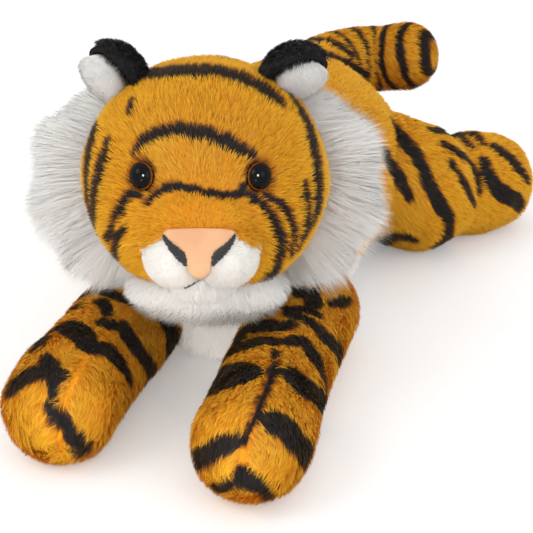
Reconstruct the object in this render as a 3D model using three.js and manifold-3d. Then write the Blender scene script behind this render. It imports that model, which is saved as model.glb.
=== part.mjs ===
// A lying plush tiger: cloth skins over stuffing, sewn face pieces and plastic eyes.
// Its legs, tail and head turn at their seams.
// Millimetres, +Z up. The tiger faces -Y and its own left is +X.
// The origin is the middle of the flat of the belly, on the floor.
import * as THREE from "three";
import { mergeVertices } from "three/addons/utils/BufferGeometryUtils.js";
import Module from "manifold-3d";

const wasm = await Module();
wasm.setup();

// Cloth and clearances
const cloth = { wall: 2.5, gap: 0.35, sweepGap: 1.3 };
const overrun = 2;
const cutReach = 400;
const flatDepth = 0.6;

// Fineness of the round forms
const fine = { sides: 22, rings: 14 };
const limbFine = { sides: 16, rings: 8 };
const coarse = { sides: 12, rings: 6 };
const tiny = { sides: 8, rings: 6 };
const earFine = { sides: 12, rings: 8 };
const faceFine = { sides: 14, rings: 8 };
const socketFine = { sides: 12, rings: 8 };
const ruffFine = { sides: 8, ringsPerTuft: 4 };
const threadFine = { segments: 3, rings: 6 };
const sweep = { rings: 4, turns: 3, reachShare: 0.5 };

// Torso, a barrel that lies on its belly
const torso = { front: 80, back: 93, width: 103, height: 99 };
// Place from front to back, half width, half height and how far the underside is off the floor
const torsoShares = [
  [0, 0, 0, 0.235],
  [0.025, 0.235, 0.19, 0.041],
  [0.085, 0.355, 0.305, 0],
  [0.18, 0.42, 0.394, 0],
  [0.32, 0.46, 0.444, 0],
  [0.53, 0.478, 0.476, 0],
  [0.73, 0.5, 0.497, 0],
  [0.87, 0.465, 0.463, 0.03],
  [0.96, 0.295, 0.295, 0.17],
  [1, 0, 0, 0.46],
];
const bellyPanel = { top: 20, chestBack: 60, chestSlope: 14, chestTop: 90 };
const beanPouch = { width: 44, length: 70, height: 16, middle: 5 };

// Neck, a flat seam that leans forward between the torso and the head
const neck = { y: -57, z: 63, leanDeg: 45 };

// Head, looking to the tiger's left and a little up
const head = { width: 94, height: 91, depth: 87, fromNeck: 38, turnDeg: 17, lookUpDeg: 8 };
// Place from face to back, half width, half height and rise of the middle
const headShares = [
  [0, 0, 0, -0.07],
  [0.03, 0.17, 0.165, -0.065],
  [0.1, 0.315, 0.305, -0.045],
  [0.24, 0.435, 0.425, -0.02],
  [0.44, 0.495, 0.49, 0],
  [0.64, 0.49, 0.485, 0.01],
  [0.83, 0.4, 0.395, 0.02],
  [0.95, 0.25, 0.25, 0.03],
  [1, 0, 0, 0.03],
];

// Legs and tail, each with a hinge point, a reach and a radius at its root
// A row of a route is outward, back and up from the hinge in shares of the reach,
// then a share of the radius
const frontLeg = { hinge: [35, -54, 20], reach: 106, radius: 20.5, travelDeg: [-5, 35] };
const frontLegShares = [
  [0, 0, 0, 1],
  [0.01, -0.34, -0.005, 0.976],
  [0.038, -0.68, -0.008, 0.956],
  [0.07, -0.9, 0.004, 1],
  [0.075, -1, 0.002, 0.97],
];
// The right front leg lies straight ahead
const frontRightShares = [
  [0, 0, 0, 1],
  [0.01, -0.33, -0.005, 0.99],
  [0.014, -0.66, -0.008, 0.97],
  [0.003, -0.87, 0.005, 1.024],
  [-0.005, -0.96, 0.002, 1],
];
const hindLeg = { hinge: [41, 64, 40], reach: 56, radius: 30, travelDeg: [-15, 25] };
// A full thigh, a crease and a rounded foot
const hindLegShares = [
  [0, 0, 0, 1],
  [0.304, 0.18, -0.165, 1.03],
  [0.52, 0.44, -0.25, 0.8],
  [0.72, 0.68, -0.27, 0.84],
  [0.82, 0.8, -0.28, 0.8],
];
const tail = { hinge: [-2, 82, 70], reach: 60, radius: 17.5, travelDeg: [-25, 25] };
const tailShares = [
  [0, 0, 0, 1],
  [0, 0.333, 0.108, 0.971],
  [0.167, 0.6, 0.158, 0.903],
  [0.433, 0.733, 0.175, 0.869],
  [0.675, 0.7, 0.233, 0.914],
];
const limbHole = 11;

// Face pieces, in the head's own frame: x to its left, y back, z up
const snout = { y: -38, z: -8, width: 36, depth: 26, height: 26 };
const muzzle = { x: 9.5, y: -43, z: -19, width: 24, depth: 29, height: 24 };
const chin = { y: -37, z: -31, width: 26, depth: 20, height: 15 };
const nose = {
  top: -6.5,
  bottom: -22,
  width: 26,
  thick: 9,
  frontTop: 52.5,
  frontBottom: 61,
  cornerShare: 0.12,
};
const nostril = { width: 2.6, thick: 0.8, topShare: 0.86, bottomShare: 0.3, edge: 0.6 };
const mouth = { thread: 1.2, top: -23.5, drop: 5, side: 6 };
// Aside and down along the mouth's thread, as shares of its side and drop
const mouthShares = [
  [0, 0],
  [0.17, 0.5],
  [0.5, 1],
  [1, 1.33],
];
const eye = { x: 21.2, z: 10, width: 10.8, dome: 4.6, rings: 4, shank: 3, shankLength: 12 };
const washer = { width: 13, thick: 1.2 };
const ear = { x: 36, y: 4, z: 40, width: 28, height: 27, cup: 12, back: 2.2, lining: 1.6 };
// How far each ear leans outward and how far it is turned to the side
const earLean = { left: 64, right: 36 };
const earTurn = { left: 56, right: 58 };
const ruff = { inner: 40, outer: 72, topDeg: 40, bottomDeg: -46, y: 13, thick: 18, tufts: 5, notch: 4 };

const up = new THREE.Vector3(0, 0, 1);
const toRadians = THREE.MathUtils.degToRad;

// Solids and booleans

function toSolid(geometry) {
  const bare = geometry.clone();
  for (const name of Object.keys(bare.attributes)) {
    if (name !== "position") bare.deleteAttribute(name);
  }
  const merged = mergeVertices(bare, 1e-4);
  return new wasm.Manifold(
    new wasm.Mesh({
      numProp: 3,
      vertProperties: Float32Array.from(merged.attributes.position.array),
      triVerts: Uint32Array.from(merged.index.array),
    }),
  );
}

function toGeometry(solid) {
  const mesh = solid.getMesh();
  const places = new Float32Array(mesh.numVert * 3);
  for (let i = 0; i < mesh.numVert; i++) {
    places.set(mesh.vertProperties.subarray(i * mesh.numProp, i * mesh.numProp + 3), i * 3);
  }
  return new THREE.BufferGeometry()
    .setAttribute("position", new THREE.BufferAttribute(places, 3))
    .setIndex(new THREE.BufferAttribute(mesh.triVerts, 1));
}

function moved(solid, matrix) {
  return toSolid(toGeometry(solid).applyMatrix4(matrix));
}

// A closed skin through rings of points, each ring narrowing to a point at both ends
function skinOver(rings, firstPoint, lastPoint) {
  const sides = rings[0].length;
  const places = [firstPoint, ...rings.flat(), lastPoint].flatMap((p) => p.toArray());
  const at = (ring, side) => 1 + ring * sides + (side % sides);
  const last = 1 + rings.length * sides;
  const faces = [];
  for (let s = 0; s < sides; s++) {
    faces.push(0, at(0, s), at(0, s + 1));
    faces.push(last, at(rings.length - 1, s + 1), at(rings.length - 1, s));
    for (let r = 0; r + 1 < rings.length; r++) {
      faces.push(at(r, s), at(r + 1, s + 1), at(r, s + 1));
      faces.push(at(r, s), at(r + 1, s), at(r + 1, s + 1));
    }
  }
  return new THREE.BufferGeometry()
    .setAttribute("position", new THREE.BufferAttribute(new Float32Array(places), 3))
    .setIndex(faces);
}

// A form that swells and tapers along -Y to +Y, from a table of shares of its sizes,
// smaller all round by an inset
function barrel(size, shares, start, fineness, inset) {
  const curve = new THREE.CatmullRomCurve3(shares.map((row) => new THREE.Vector3(row[1], row[2], row[3])));
  const places = new THREE.CatmullRomCurve3(shares.map((row) => new THREE.Vector3(row[0], 0, 0)));
  const length = size.length - inset * 2;
  const half = (share, whole) => Math.max(share * whole * (1 - (inset * 2) / whole), 0);
  const centre = (t) => {
    const row = curve.getPoint(t);
    return new THREE.Vector3(0, start + inset + places.getPoint(t).x * length, row.z * size.height);
  };
  const rings = [];
  for (let r = 1; r < fineness.rings; r++) {
    const t = (1 - Math.cos((Math.PI * r) / fineness.rings)) / 2;
    const row = curve.getPoint(t);
    const middle = centre(t);
    const ring = [];
    for (let s = 0; s < fineness.sides; s++) {
      const angle = (2 * Math.PI * s) / fineness.sides;
      ring.push(
        new THREE.Vector3(
          half(row.x, size.width) * Math.cos(angle),
          middle.y,
          middle.z + half(row.y, size.height) * Math.sin(angle),
        ),
      );
    }
    rings.push(ring);
  }
  return toSolid(skinOver(rings, centre(0), centre(1)));
}

// A leg or tail's centre, directions and radius at a share of its length, with its hinge at the origin
function limbLine(shape) {
  const line = new THREE.CatmullRomCurve3(shape.route.map(([x, y, z]) => new THREE.Vector3(x, y, z)));
  const girth = new THREE.CatmullRomCurve3(shape.route.map((row) => new THREE.Vector3(row[3], 0, 0)));
  return (share) => {
    const tangent = line.getTangent(share);
    const side = new THREE.Vector3().crossVectors(up, tangent).normalize();
    const rise = new THREE.Vector3().crossVectors(tangent, side).normalize();
    return { centre: line.getPoint(share), tangent, side, rise, radius: girth.getPoint(share).x };
  };
}

function rimPoint({ centre, side, rise }, radius, angle) {
  return centre
    .clone()
    .addScaledVector(side, radius * Math.cos(angle))
    .addScaledVector(rise, radius * Math.sin(angle));
}

// A leg or tail along its route, with round ends, thicker all round by a margin
function limb(shape, fineness, margin) {
  const along = limbLine(shape);
  const hinge = new THREE.Vector3(...shape.hinge);
  const capSteps = Math.round(fineness.rings / 3);
  const ringAt = (here, radius, shift) => {
    const middle = { ...here, centre: here.centre.clone().addScaledVector(here.tangent, shift).add(hinge) };
    const angles = Array.from({ length: fineness.sides }, (_, s) => (-2 * Math.PI * s) / fineness.sides);
    return angles.map((angle) => rimPoint(middle, radius, angle));
  };
  const cap = (here, way) => {
    const radius = here.radius + margin;
    const leans = Array.from({ length: capSteps - 1 }, (_, i) => (Math.PI / 2) * ((i + 1) / capSteps));
    return leans.map((lean) => ringAt(here, radius * Math.sin(lean), way * radius * Math.cos(lean)));
  };
  const tip = (here, way) =>
    here.centre.clone().add(hinge).addScaledVector(here.tangent, way * (here.radius + margin));
  const [first, last] = [along(0), along(1)];
  const rings = cap(first, -1);
  for (let r = 0; r <= fineness.rings; r++) {
    const here = along(r / fineness.rings);
    rings.push(ringAt(here, here.radius + margin, 0));
  }
  rings.push(...cap(last, 1).reverse());
  return toSolid(skinOver(rings, tip(first, -1), tip(last, 1)));
}

function ball(centre, radius, fineness) {
  const geometry = new THREE.SphereGeometry(radius, fineness.sides, fineness.rings);
  return toSolid(geometry.rotateX(Math.PI / 2).translate(...centre));
}

function egg(centre, width, depth, height, fineness) {
  const geometry = new THREE.SphereGeometry(0.5, fineness.sides, fineness.rings);
  return toSolid(geometry.scale(width, depth, height).translate(...centre));
}

function rod(from, to, radius, sides) {
  const way = new THREE.Vector3().subVectors(to, from);
  const geometry = new THREE.CylinderGeometry(radius, radius, way.length(), sides);
  const axis = new THREE.Vector3(0, 1, 0);
  const turn = new THREE.Quaternion().setFromUnitVectors(axis, way.clone().normalize());
  geometry.applyQuaternion(turn);
  geometry.translate(...from.clone().addScaledVector(way, 1 / 2).toArray());
  return toSolid(geometry);
}

// Everything on the side of a plane that its normal points to
function halfSpace(point, normal) {
  const geometry = new THREE.BoxGeometry(cutReach, cutReach, cutReach);
  geometry.translate(0, 0, cutReach / 2);
  geometry.applyQuaternion(new THREE.Quaternion().setFromUnitVectors(up, normal.clone().normalize()));
  geometry.translate(...point.toArray());
  return toSolid(geometry);
}

function below(height) {
  return halfSpace(new THREE.Vector3(0, 0, height), up.clone().negate());
}

const belowFloor = below(0);

// The same radius measured to the flats of a many-sided round
function overFlats(radius, fineness) {
  return radius / Math.cos(Math.PI / fineness.sides) / Math.cos(Math.PI / fineness.rings / 2);
}

// Everything a limb passes through near its root as it turns about the upright line through its hinge
function swept(shape) {
  const along = limbLine(shape);
  const hinge = new THREE.Vector3(...shape.hinge);
  const ends = shape.travelDeg.map((angle) => toRadians(angle) * shape.way);
  const [least, most] = [Math.min(...ends), Math.max(...ends)];
  const halfSteps = coarse.sides / 2;
  const between = sweep.turns;
  const quarterTurn = Math.PI / 2;
  const spots = [];
  for (let i = 0; i <= halfSteps; i++) spots.push([quarterTurn - (Math.PI * i) / halfSteps, most]);
  for (let i = 1; i <= between; i++) {
    spots.push([-quarterTurn, THREE.MathUtils.lerp(most, least, i / (between + 1))]);
  }
  for (let i = 0; i <= halfSteps; i++) spots.push([-quarterTurn - (Math.PI * i) / halfSteps, least]);
  for (let i = 1; i <= between; i++) {
    spots.push([quarterTurn, THREE.MathUtils.lerp(least, most, i / (between + 1))]);
  }
  const rings = [];
  for (let r = 0; r <= sweep.rings; r++) {
    const here = along((sweep.reachShare * r) / sweep.rings);
    const radius = overFlats(here.radius + cloth.sweepGap, coarse);
    const turned = ([angle, turn]) => rimPoint(here, radius, angle).applyAxisAngle(up, turn).add(hinge);
    rings.push(spots.map(turned));
  }
  const end = along(sweep.reachShare).centre.applyAxisAngle(up, (least + most) / 2).add(hinge);
  const socket = ball(shape.hinge, overFlats(shape.route[0][3] + cloth.gap, socketFine), socketFine);
  return toSolid(skinOver(rings, hinge, end)).add(socket);
}

// A limb from its sizes and its table of shares, on the tiger's left or right
function limbShape(size, shares, side) {
  const [x, y, z] = size.hinge;
  const route = shares.map(([outward, back, rise, girth]) => [
    side * outward * size.reach,
    back * size.reach,
    rise * size.reach,
    girth * size.radius,
  ]);
  return { hinge: [side * x, y, z], route, way: side, travelDeg: size.travelDeg };
}

// Where a straight line first meets a solid, with the way the surface faces there
function seatOn(solid, from, way) {
  const mesh = new THREE.Mesh(toGeometry(solid), new THREE.MeshBasicMaterial());
  const hit = new THREE.Raycaster(from, way.clone().normalize()).intersectObject(mesh)[0];
  return { point: hit.point, normal: hit.face.normal.clone() };
}

// The neck seam and the head's own frame

const neckPoint = new THREE.Vector3(0, neck.y, neck.z);
const neckLean = toRadians(neck.leanDeg);
const neckAxis = new THREE.Vector3(0, -Math.sin(neckLean), Math.cos(neckLean));
const headPlace = new THREE.Matrix4()
  .makeTranslation(neckPoint.clone().addScaledVector(neckAxis, head.fromNeck))
  .multiply(new THREE.Matrix4().makeRotationZ(toRadians(head.turnDeg)))
  .multiply(new THREE.Matrix4().makeRotationX(-toRadians(head.lookUpDeg)));

// Everything behind the neck seam, as seen from the head,
// and everything in front of it, as seen from the torso
const seamAt = (shift) => neckPoint.clone().addScaledVector(neckAxis, shift);
const behindNeck = halfSpace(seamAt(cloth.gap / 2), neckAxis.clone().negate());
const beforeNeck = halfSpace(seamAt(-cloth.gap / 2), neckAxis);

function torsoForm(fineness, inset) {
  const shares = torsoShares.map(([place, wide, high, lift]) => [place, wide, high, high + lift]);
  const size = { length: torso.front + torso.back, ...torso };
  const form = barrel(size, shares, -torso.front, fineness, inset);
  return moved(form, new THREE.Matrix4().makeTranslation(0, 0, -flatDepth));
}

function headForm(fineness, inset) {
  return barrel({ length: head.depth, ...head }, headShares, -head.depth / 2, fineness, inset);
}

// The head's outside, with the bridge that rises to the nose
function headOutside(margin) {
  const bridge = egg(
    [0, snout.y, snout.z],
    snout.width + margin * 2,
    snout.depth + margin * 2,
    snout.height + margin * 2,
    faceFine,
  );
  return headForm(fine, -margin).add(bridge);
}

function inHead(solid) {
  return moved(solid, headPlace);
}

// Torso pieces: skin, belly panel, stuffing and bean pouch

const limbs = {
  front_leg_left: limbShape(frontLeg, frontLegShares, 1),
  front_leg_right: limbShape(frontLeg, frontRightShares, -1),
  hind_leg_left: limbShape(hindLeg, hindLegShares, 1),
  hind_leg_right: limbShape(hindLeg, hindLegShares, -1),
  tail: limbShape(tail, tailShares, 1),
};

// The solid that holds all of the torso that is white cloth: its underside and its chest
function bellyRegion(grown) {
  const outline = new THREE.Shape([
    new THREE.Vector2(torso.front + overrun, -overrun),
    new THREE.Vector2(torso.front + overrun, bellyPanel.chestTop + grown),
    new THREE.Vector2(bellyPanel.chestBack - bellyPanel.chestSlope - grown, bellyPanel.chestTop + grown),
    new THREE.Vector2(bellyPanel.chestBack - grown, bellyPanel.top + grown),
    new THREE.Vector2(-torso.back - overrun, bellyPanel.top + grown),
    new THREE.Vector2(-torso.back - overrun, -overrun),
  ]);
  const geometry = new THREE.ExtrudeGeometry(outline, { depth: torso.width, bevelEnabled: false });
  geometry.translate(0, 0, -torso.width / 2);
  geometry.rotateX(Math.PI / 2).rotateZ(-Math.PI / 2);
  return toSolid(geometry);
}

function torsoPieces() {
  let outer = torsoForm(fine, 0).subtract(belowFloor).subtract(beforeNeck);
  let inner = torsoForm(coarse, cloth.wall);
  let stuffing = torsoForm(coarse, cloth.wall + cloth.gap).subtract(beforeNeck);
  stuffing = stuffing.subtract(below(cloth.wall + cloth.gap));
  inner = inner.subtract(below(cloth.wall));
  for (const shape of Object.values(limbs)) {
    const space = swept(shape);
    outer = outer.subtract(space);
    stuffing = stuffing.subtract(space);
  }
  const shell = outer.subtract(inner);
  const pouchMiddle = [0, beanPouch.middle, cloth.wall + cloth.gap * 2 + beanPouch.height / 2];
  const pouch = egg(pouchMiddle, beanPouch.width, beanPouch.length, beanPouch.height, coarse);
  const pouchRoom = egg(
    pouchMiddle,
    beanPouch.width + cloth.gap * 2,
    beanPouch.length + cloth.gap * 2,
    beanPouch.height + cloth.gap * 4,
    coarse,
  );
  return {
    body_skin: shell.subtract(bellyRegion(cloth.gap)),
    belly_panel: shell.intersect(bellyRegion(0)),
    body_stuffing: stuffing.subtract(pouchRoom),
    belly_bean_pouch: pouch.intersect(stuffing),
  };
}

// A leg or the tail: a cloth tube with a round end, open at its root, and the stuffing in it

function limbPieces(name, shape) {
  const hinge = new THREE.Vector3(...shape.hinge);
  const towards = new THREE.Vector3(...shape.route[1]).setZ(0).normalize();
  const mouth = (radius) =>
    rod(hinge, hinge.clone().addScaledVector(towards, -shape.route[0][3] - overrun), radius, coarse.sides);
  const inside = limb(shape, coarse, -cloth.wall).subtract(below(cloth.wall));
  const stuffing = limb(shape, coarse, -cloth.wall - cloth.gap).subtract(below(cloth.wall + cloth.gap));
  return {
    [name + "_skin"]: limb(shape, limbFine, 0).subtract(belowFloor).subtract(inside.add(mouth(limbHole))),
    [name + "_stuffing"]: stuffing,
  };
}

// Head pieces that sit in its own frame, cut by the head and by one another

const headOuter = headOutside(0);
const headSeat = headOutside(cloth.gap);

// A plastic eye with its shank, and the washer that holds it behind the cloth
function eyePieces(side) {
  const from = new THREE.Vector3(side * eye.x, -head.depth, eye.z);
  const seat = seatOn(headOuter, from, new THREE.Vector3(0, 1, 0));
  const outward = seat.normal.normalize();
  const at = (height) => seat.point.clone().addScaledVector(outward, height);
  const profile = [new THREE.Vector2(0, 0)];
  for (let i = 0; i <= eye.rings; i++) {
    const lean = (Math.PI / 2) * (i / eye.rings);
    profile.push(new THREE.Vector2((eye.width / 2) * Math.cos(lean), eye.dome * Math.sin(lean)));
  }
  profile[profile.length - 1].x = 0;
  const dome = new THREE.LatheGeometry(profile, limbFine.sides).rotateX(Math.PI / 2);
  const turn = new THREE.Quaternion().setFromUnitVectors(up, outward);
  dome.applyQuaternion(turn).translate(...at(cloth.gap).toArray());
  const shank = rod(at(-eye.shankLength), at(cloth.gap * 2), eye.shank / 2, tiny.sides);
  const washerOut = -cloth.wall * 2 - cloth.gap;
  const ring = rod(at(washerOut - washer.thick), at(washerOut), washer.width / 2, tiny.sides);
  const bore = rod(at(-eye.shankLength - overrun), at(overrun), eye.shank / 2 + cloth.gap, tiny.sides);
  return {
    eye: toSolid(dome).add(shank),
    washer: ring.subtract(bore),
    bore,
    room: rod(at(-eye.shankLength - overrun), at(overrun), washer.width / 2 + cloth.gap, tiny.sides),
  };
}

// A cupped ear of two cloths, black behind and white in its hollow
function earPieces(side) {
  const bowl = (inset) =>
    egg([0, 0, 0], ear.width - inset * 2, (ear.cup - inset) * 2, ear.height - inset * 2, earFine);
  const backHalf = halfSpace(new THREE.Vector3(0, 0, 0), new THREE.Vector3(0, 1, 0));
  const place = new THREE.Matrix4()
    .makeTranslation(side * ear.x, ear.y, ear.z)
    .multiply(new THREE.Matrix4().makeRotationY(side * toRadians(side > 0 ? earLean.left : earLean.right)))
    .multiply(new THREE.Matrix4().makeRotationZ(side * toRadians(side > 0 ? earTurn.left : earTurn.right)));
  const layer = (outside, inside) =>
    moved(bowl(outside).subtract(bowl(inside)).intersect(backHalf), place).subtract(headSeat);
  const liningOut = ear.back + cloth.gap;
  return { back: layer(0, ear.back), lining: layer(liningOut, liningOut + ear.lining) };
}

// A crescent of long white pile, thick along the head and thin at its edge, with the tufts that it falls in
function ruffPiece(side) {
  const steps = ruff.tufts * ruffFine.ringsPerTuft;
  const rings = [];
  const middleAt = (share) => {
    const angle = toRadians(THREE.MathUtils.lerp(ruff.bottomDeg, ruff.topDeg, share));
    const swell = Math.sqrt(Math.sin(Math.PI * share));
    const notch = ruff.notch * Math.abs(Math.cos(Math.PI * ruff.tufts * share));
    return { angle, outer: THREE.MathUtils.lerp(ruff.inner, ruff.outer, swell) - notch * swell, swell };
  };
  const point = (angle, radius, depth) =>
    new THREE.Vector3(side * radius * Math.cos(angle), ruff.y + depth, radius * Math.sin(angle));
  for (let i = 1; i < steps; i++) {
    const { angle, outer, swell } = middleAt(i / steps);
    const ring = [];
    for (let s = 0; s < ruffFine.sides; s++) {
      const around = (2 * Math.PI * s) / ruffFine.sides;
      const share = (1 + Math.cos(around)) / 2;
      const depth = Math.sin(around) * (ruff.thick / 2) * swell * (1 - share / 2);
      ring.push(point(angle, THREE.MathUtils.lerp(ruff.inner, outer, share), depth));
    }
    rings.push(side > 0 ? ring.reverse() : ring);
  }
  const ends = [0, 1].map((share) => point(middleAt(share).angle, ruff.inner, 0));
  return toSolid(skinOver(rings, ends[0], ends[1])).subtract(headSeat);
}

function muzzlePieces() {
  const lobe = (side, margin) =>
    egg(
      [side * muzzle.x, muzzle.y, muzzle.z],
      muzzle.width + margin * 2,
      muzzle.depth + margin * 2,
      muzzle.height + margin * 2,
      faceFine,
    );
  const sideOf = (side) => {
    const way = new THREE.Vector3(side, 0, 0);
    return halfSpace(way.clone().multiplyScalar(cloth.gap / 2), way);
  };
  const lobes = (margin) => lobe(1, margin).add(lobe(-1, margin));
  const left = lobe(1, 0).intersect(sideOf(1)).subtract(headSeat);
  const right = lobe(-1, 0).intersect(sideOf(-1)).subtract(headSeat);
  const chinPad = egg([0, chin.y, chin.z], chin.width, chin.depth, chin.height, faceFine)
    .subtract(headSeat)
    .subtract(lobes(cloth.gap));
  return { left, right, chinPad, seat: lobes(cloth.gap), face: lobes(0).add(chinPad).add(headOuter) };
}

// The nose, a rounded triangle of pink cloth on a slope, and the two black stitched nostrils on it
function nosePieces(muzzleSeat) {
  const rise = nose.top - nose.bottom;
  const slope = Math.atan2(nose.frontBottom - nose.frontTop, rise);
  const height = Math.hypot(nose.frontBottom - nose.frontTop, rise);
  const place = new THREE.Matrix4()
    .makeTranslation(0, -nose.frontBottom, nose.bottom)
    .multiply(new THREE.Matrix4().makeRotationX(-slope))
    .multiply(new THREE.Matrix4().makeRotationX(Math.PI / 2));
  const corner = (x, y, toX, toY, share) => [
    THREE.MathUtils.lerp(x, toX, share),
    THREE.MathUtils.lerp(y, toY, share),
  ];
  const triangle = () => {
    const tops = [
      [nose.width / 2, height],
      [-nose.width / 2, height],
      [0, 0],
    ];
    const cut = nose.cornerShare;
    const shape = new THREE.Shape();
    tops.forEach(([x, y], i) => {
      const [beforeX, beforeY] = tops[(i + 2) % 3];
      const [afterX, afterY] = tops[(i + 1) % 3];
      const start = corner(x, y, beforeX, beforeY, cut);
      if (i === 0) shape.moveTo(...start);
      else shape.lineTo(...start);
      shape.quadraticCurveTo(x, y, ...corner(x, y, afterX, afterY, cut));
    });
    return shape;
  };
  const pad = new THREE.ExtrudeGeometry(triangle(), {
    depth: nose.thick,
    bevelEnabled: false,
    curveSegments: threadFine.segments,
  });
  pad.translate(0, 0, -nose.thick);
  // Each nostril lies along one side of the triangle and swells inward
  const stitched = (side) => {
    const onEdge = (share) => [side * ((nose.width / 2) * share - nostril.edge), height * share];
    const [topX, topY] = onEdge(nostril.topShare);
    const [bottomX, bottomY] = onEdge(nostril.bottomShare);
    const bar = new THREE.Shape();
    bar.moveTo(topX, topY);
    const bowX = (topX + bottomX) / 2 - side * nostril.width * 2;
    bar.quadraticCurveTo(bowX, (topY + bottomY) / 2, bottomX, bottomY);
    bar.closePath();
    const shape = new THREE.ExtrudeGeometry(bar, {
      depth: nostril.thick,
      bevelEnabled: false,
      curveSegments: threadFine.rings,
    });
    shape.translate(0, 0, cloth.gap);
    return toSolid(shape.applyMatrix4(place));
  };
  return {
    pad: toSolid(pad.applyMatrix4(place)).subtract(headSeat).subtract(muzzleSeat),
    left: stitched(1),
    right: stitched(-1),
  };
}

// The mouth, one black thread from under the nose that turns aside at its lower end
function mouthPiece(face) {
  const lift = mouth.thread / 2 + cloth.gap;
  const back = new THREE.Vector3(0, 1, 0);
  const places = mouthShares.map(([aside, down]) => {
    const from = new THREE.Vector3(-aside * mouth.side, -head.depth, mouth.top - down * mouth.drop);
    const seat = seatOn(face, from, back);
    return seat.point.addScaledVector(back, -lift);
  });
  const thread = new THREE.Shape().absarc(0, 0, mouth.thread / 2, 0, 2 * Math.PI);
  const geometry = new THREE.ExtrudeGeometry(thread, {
    steps: threadFine.rings,
    curveSegments: threadFine.segments,
    bevelEnabled: false,
    extrudePath: new THREE.CatmullRomCurve3(places),
  });
  return toSolid(geometry).subtract(face);
}

function headPieces() {
  const left = eyePieces(1);
  const right = eyePieces(-1);
  const earLeft = earPieces(1);
  const earRight = earPieces(-1);
  const muzzleParts = muzzlePieces();
  const noseParts = nosePieces(muzzleParts.seat);
  const hollow = headForm(coarse, cloth.wall);
  const shell = headOuter.subtract(hollow).subtract(left.bore).subtract(right.bore);
  const filling = headForm(coarse, cloth.wall + cloth.gap).subtract(left.room).subtract(right.room);
  return {
    head_skin: inHead(shell).subtract(behindNeck),
    head_stuffing: inHead(filling).subtract(behindNeck),
    eye_left: inHead(left.eye),
    eye_right: inHead(right.eye),
    eye_washer_left: inHead(left.washer),
    eye_washer_right: inHead(right.washer),
    ear_left_back: inHead(earLeft.back),
    ear_left_lining: inHead(earLeft.lining),
    ear_right_back: inHead(earRight.back),
    ear_right_lining: inHead(earRight.lining),
    ruff_left: inHead(ruffPiece(1)),
    ruff_right: inHead(ruffPiece(-1)),
    muzzle_left: inHead(muzzleParts.left),
    muzzle_right: inHead(muzzleParts.right),
    chin_pad: inHead(muzzleParts.chinPad),
    nose_patch: inHead(noseParts.pad),
    nostril_left: inHead(noseParts.left),
    nostril_right: inHead(noseParts.right),
    mouth_stitch: inHead(mouthPiece(muzzleParts.face)),
  };
}

// Colours and finishes, by the start or end of a piece's name

const finishes = [
  [/stuffing/, 0xf4f2ec, 0.95],
  [/pouch/, 0xd9d2c4, 0.9],
  [/washer/, 0xe6e6e2, 0.4],
  [/^eye/, 0x2a1408, 0.08],
  [/nostril|mouth/, 0x201c1c, 0.7],
  [/nose/, 0xf0b088, 0.85],
  [/ear.*back/, 0x231f20, 0.95],
  [/ruff|muzzle|chin|panel|lining/, 0xf5f2ec, 0.95],
  [/./, 0xd08a20, 0.9],
];

function makeTiger() {
  const tiger = new THREE.Group();
  const pieces = { ...torsoPieces(), ...headPieces() };
  for (const [name, shape] of Object.entries(limbs)) Object.assign(pieces, limbPieces(name, shape));
  for (const [name, solid] of Object.entries(pieces)) {
    const [, color, roughness] = finishes.find(([pattern]) => pattern.test(name));
    const mesh = new THREE.Mesh(
      toGeometry(solid),
      new THREE.MeshStandardMaterial({ color, roughness, metalness: 0 }),
    );
    mesh.name = name;
    tiger.add(mesh);
  }
  return tiger;
}

export default makeTiger();
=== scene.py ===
import math

import bpy
import numpy as np
from mathutils import Matrix, Vector
from mathutils.bvhtree import BVHTree
from mathutils.kdtree import KDTree


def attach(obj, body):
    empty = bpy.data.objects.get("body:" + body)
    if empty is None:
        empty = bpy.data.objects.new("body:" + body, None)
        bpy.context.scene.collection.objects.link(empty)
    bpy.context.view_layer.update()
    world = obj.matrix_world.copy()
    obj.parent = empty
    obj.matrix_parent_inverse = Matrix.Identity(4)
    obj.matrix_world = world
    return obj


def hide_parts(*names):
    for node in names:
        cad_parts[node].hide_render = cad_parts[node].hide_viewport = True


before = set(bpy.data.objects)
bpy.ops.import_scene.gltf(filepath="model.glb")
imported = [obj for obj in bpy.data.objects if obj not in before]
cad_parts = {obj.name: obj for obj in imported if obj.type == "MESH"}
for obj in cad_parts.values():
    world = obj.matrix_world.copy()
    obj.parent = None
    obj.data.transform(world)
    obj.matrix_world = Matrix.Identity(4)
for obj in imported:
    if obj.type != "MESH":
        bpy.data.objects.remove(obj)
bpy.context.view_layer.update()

# A lying plush tiger: padded cloth forms with short striped pile, long white ruffs and plastic eyes.
# Sizes here are millimetres in the CAD's frame, and go to metres where a mesh is made.
millimetre = 0.001
floorLevel = 0.25        # pile and cloth end this far above the floor

view = {"place": (164.7, -539.1, 285.0), "azimuth": 17.0, "elevation": 25.9, "lens": 87.8, "sensor": 36.0,
        "pixels": 533, "near": 0.01}
viewTurn = np.array(Matrix.Rotation(math.radians(view["azimuth"]), 3, "Z")
                    @ Matrix.Rotation(math.radians(90 - view["elevation"]), 3, "X"))
focal = view["lens"] / view["sensor"] * view["pixels"]


def setUpCamera():
    data = bpy.data.cameras.new("photoCamera")
    data.lens = view["lens"]
    data.sensor_width = view["sensor"]
    data.clip_start = view["near"]
    camera = bpy.data.objects.new("photoCamera", data)
    camera.location = Vector(view["place"]) * millimetre
    camera.rotation_euler = (math.radians(90 - view["elevation"]), 0, math.radians(view["azimuth"]))
    bpy.context.scene.collection.objects.link(camera)
    bpy.context.scene.camera = camera


setUpCamera()
bpy.context.scene.view_settings.view_transform = "Standard"
print("camera placed")

# The forms, with the same sizes and shares as the CAD

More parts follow.
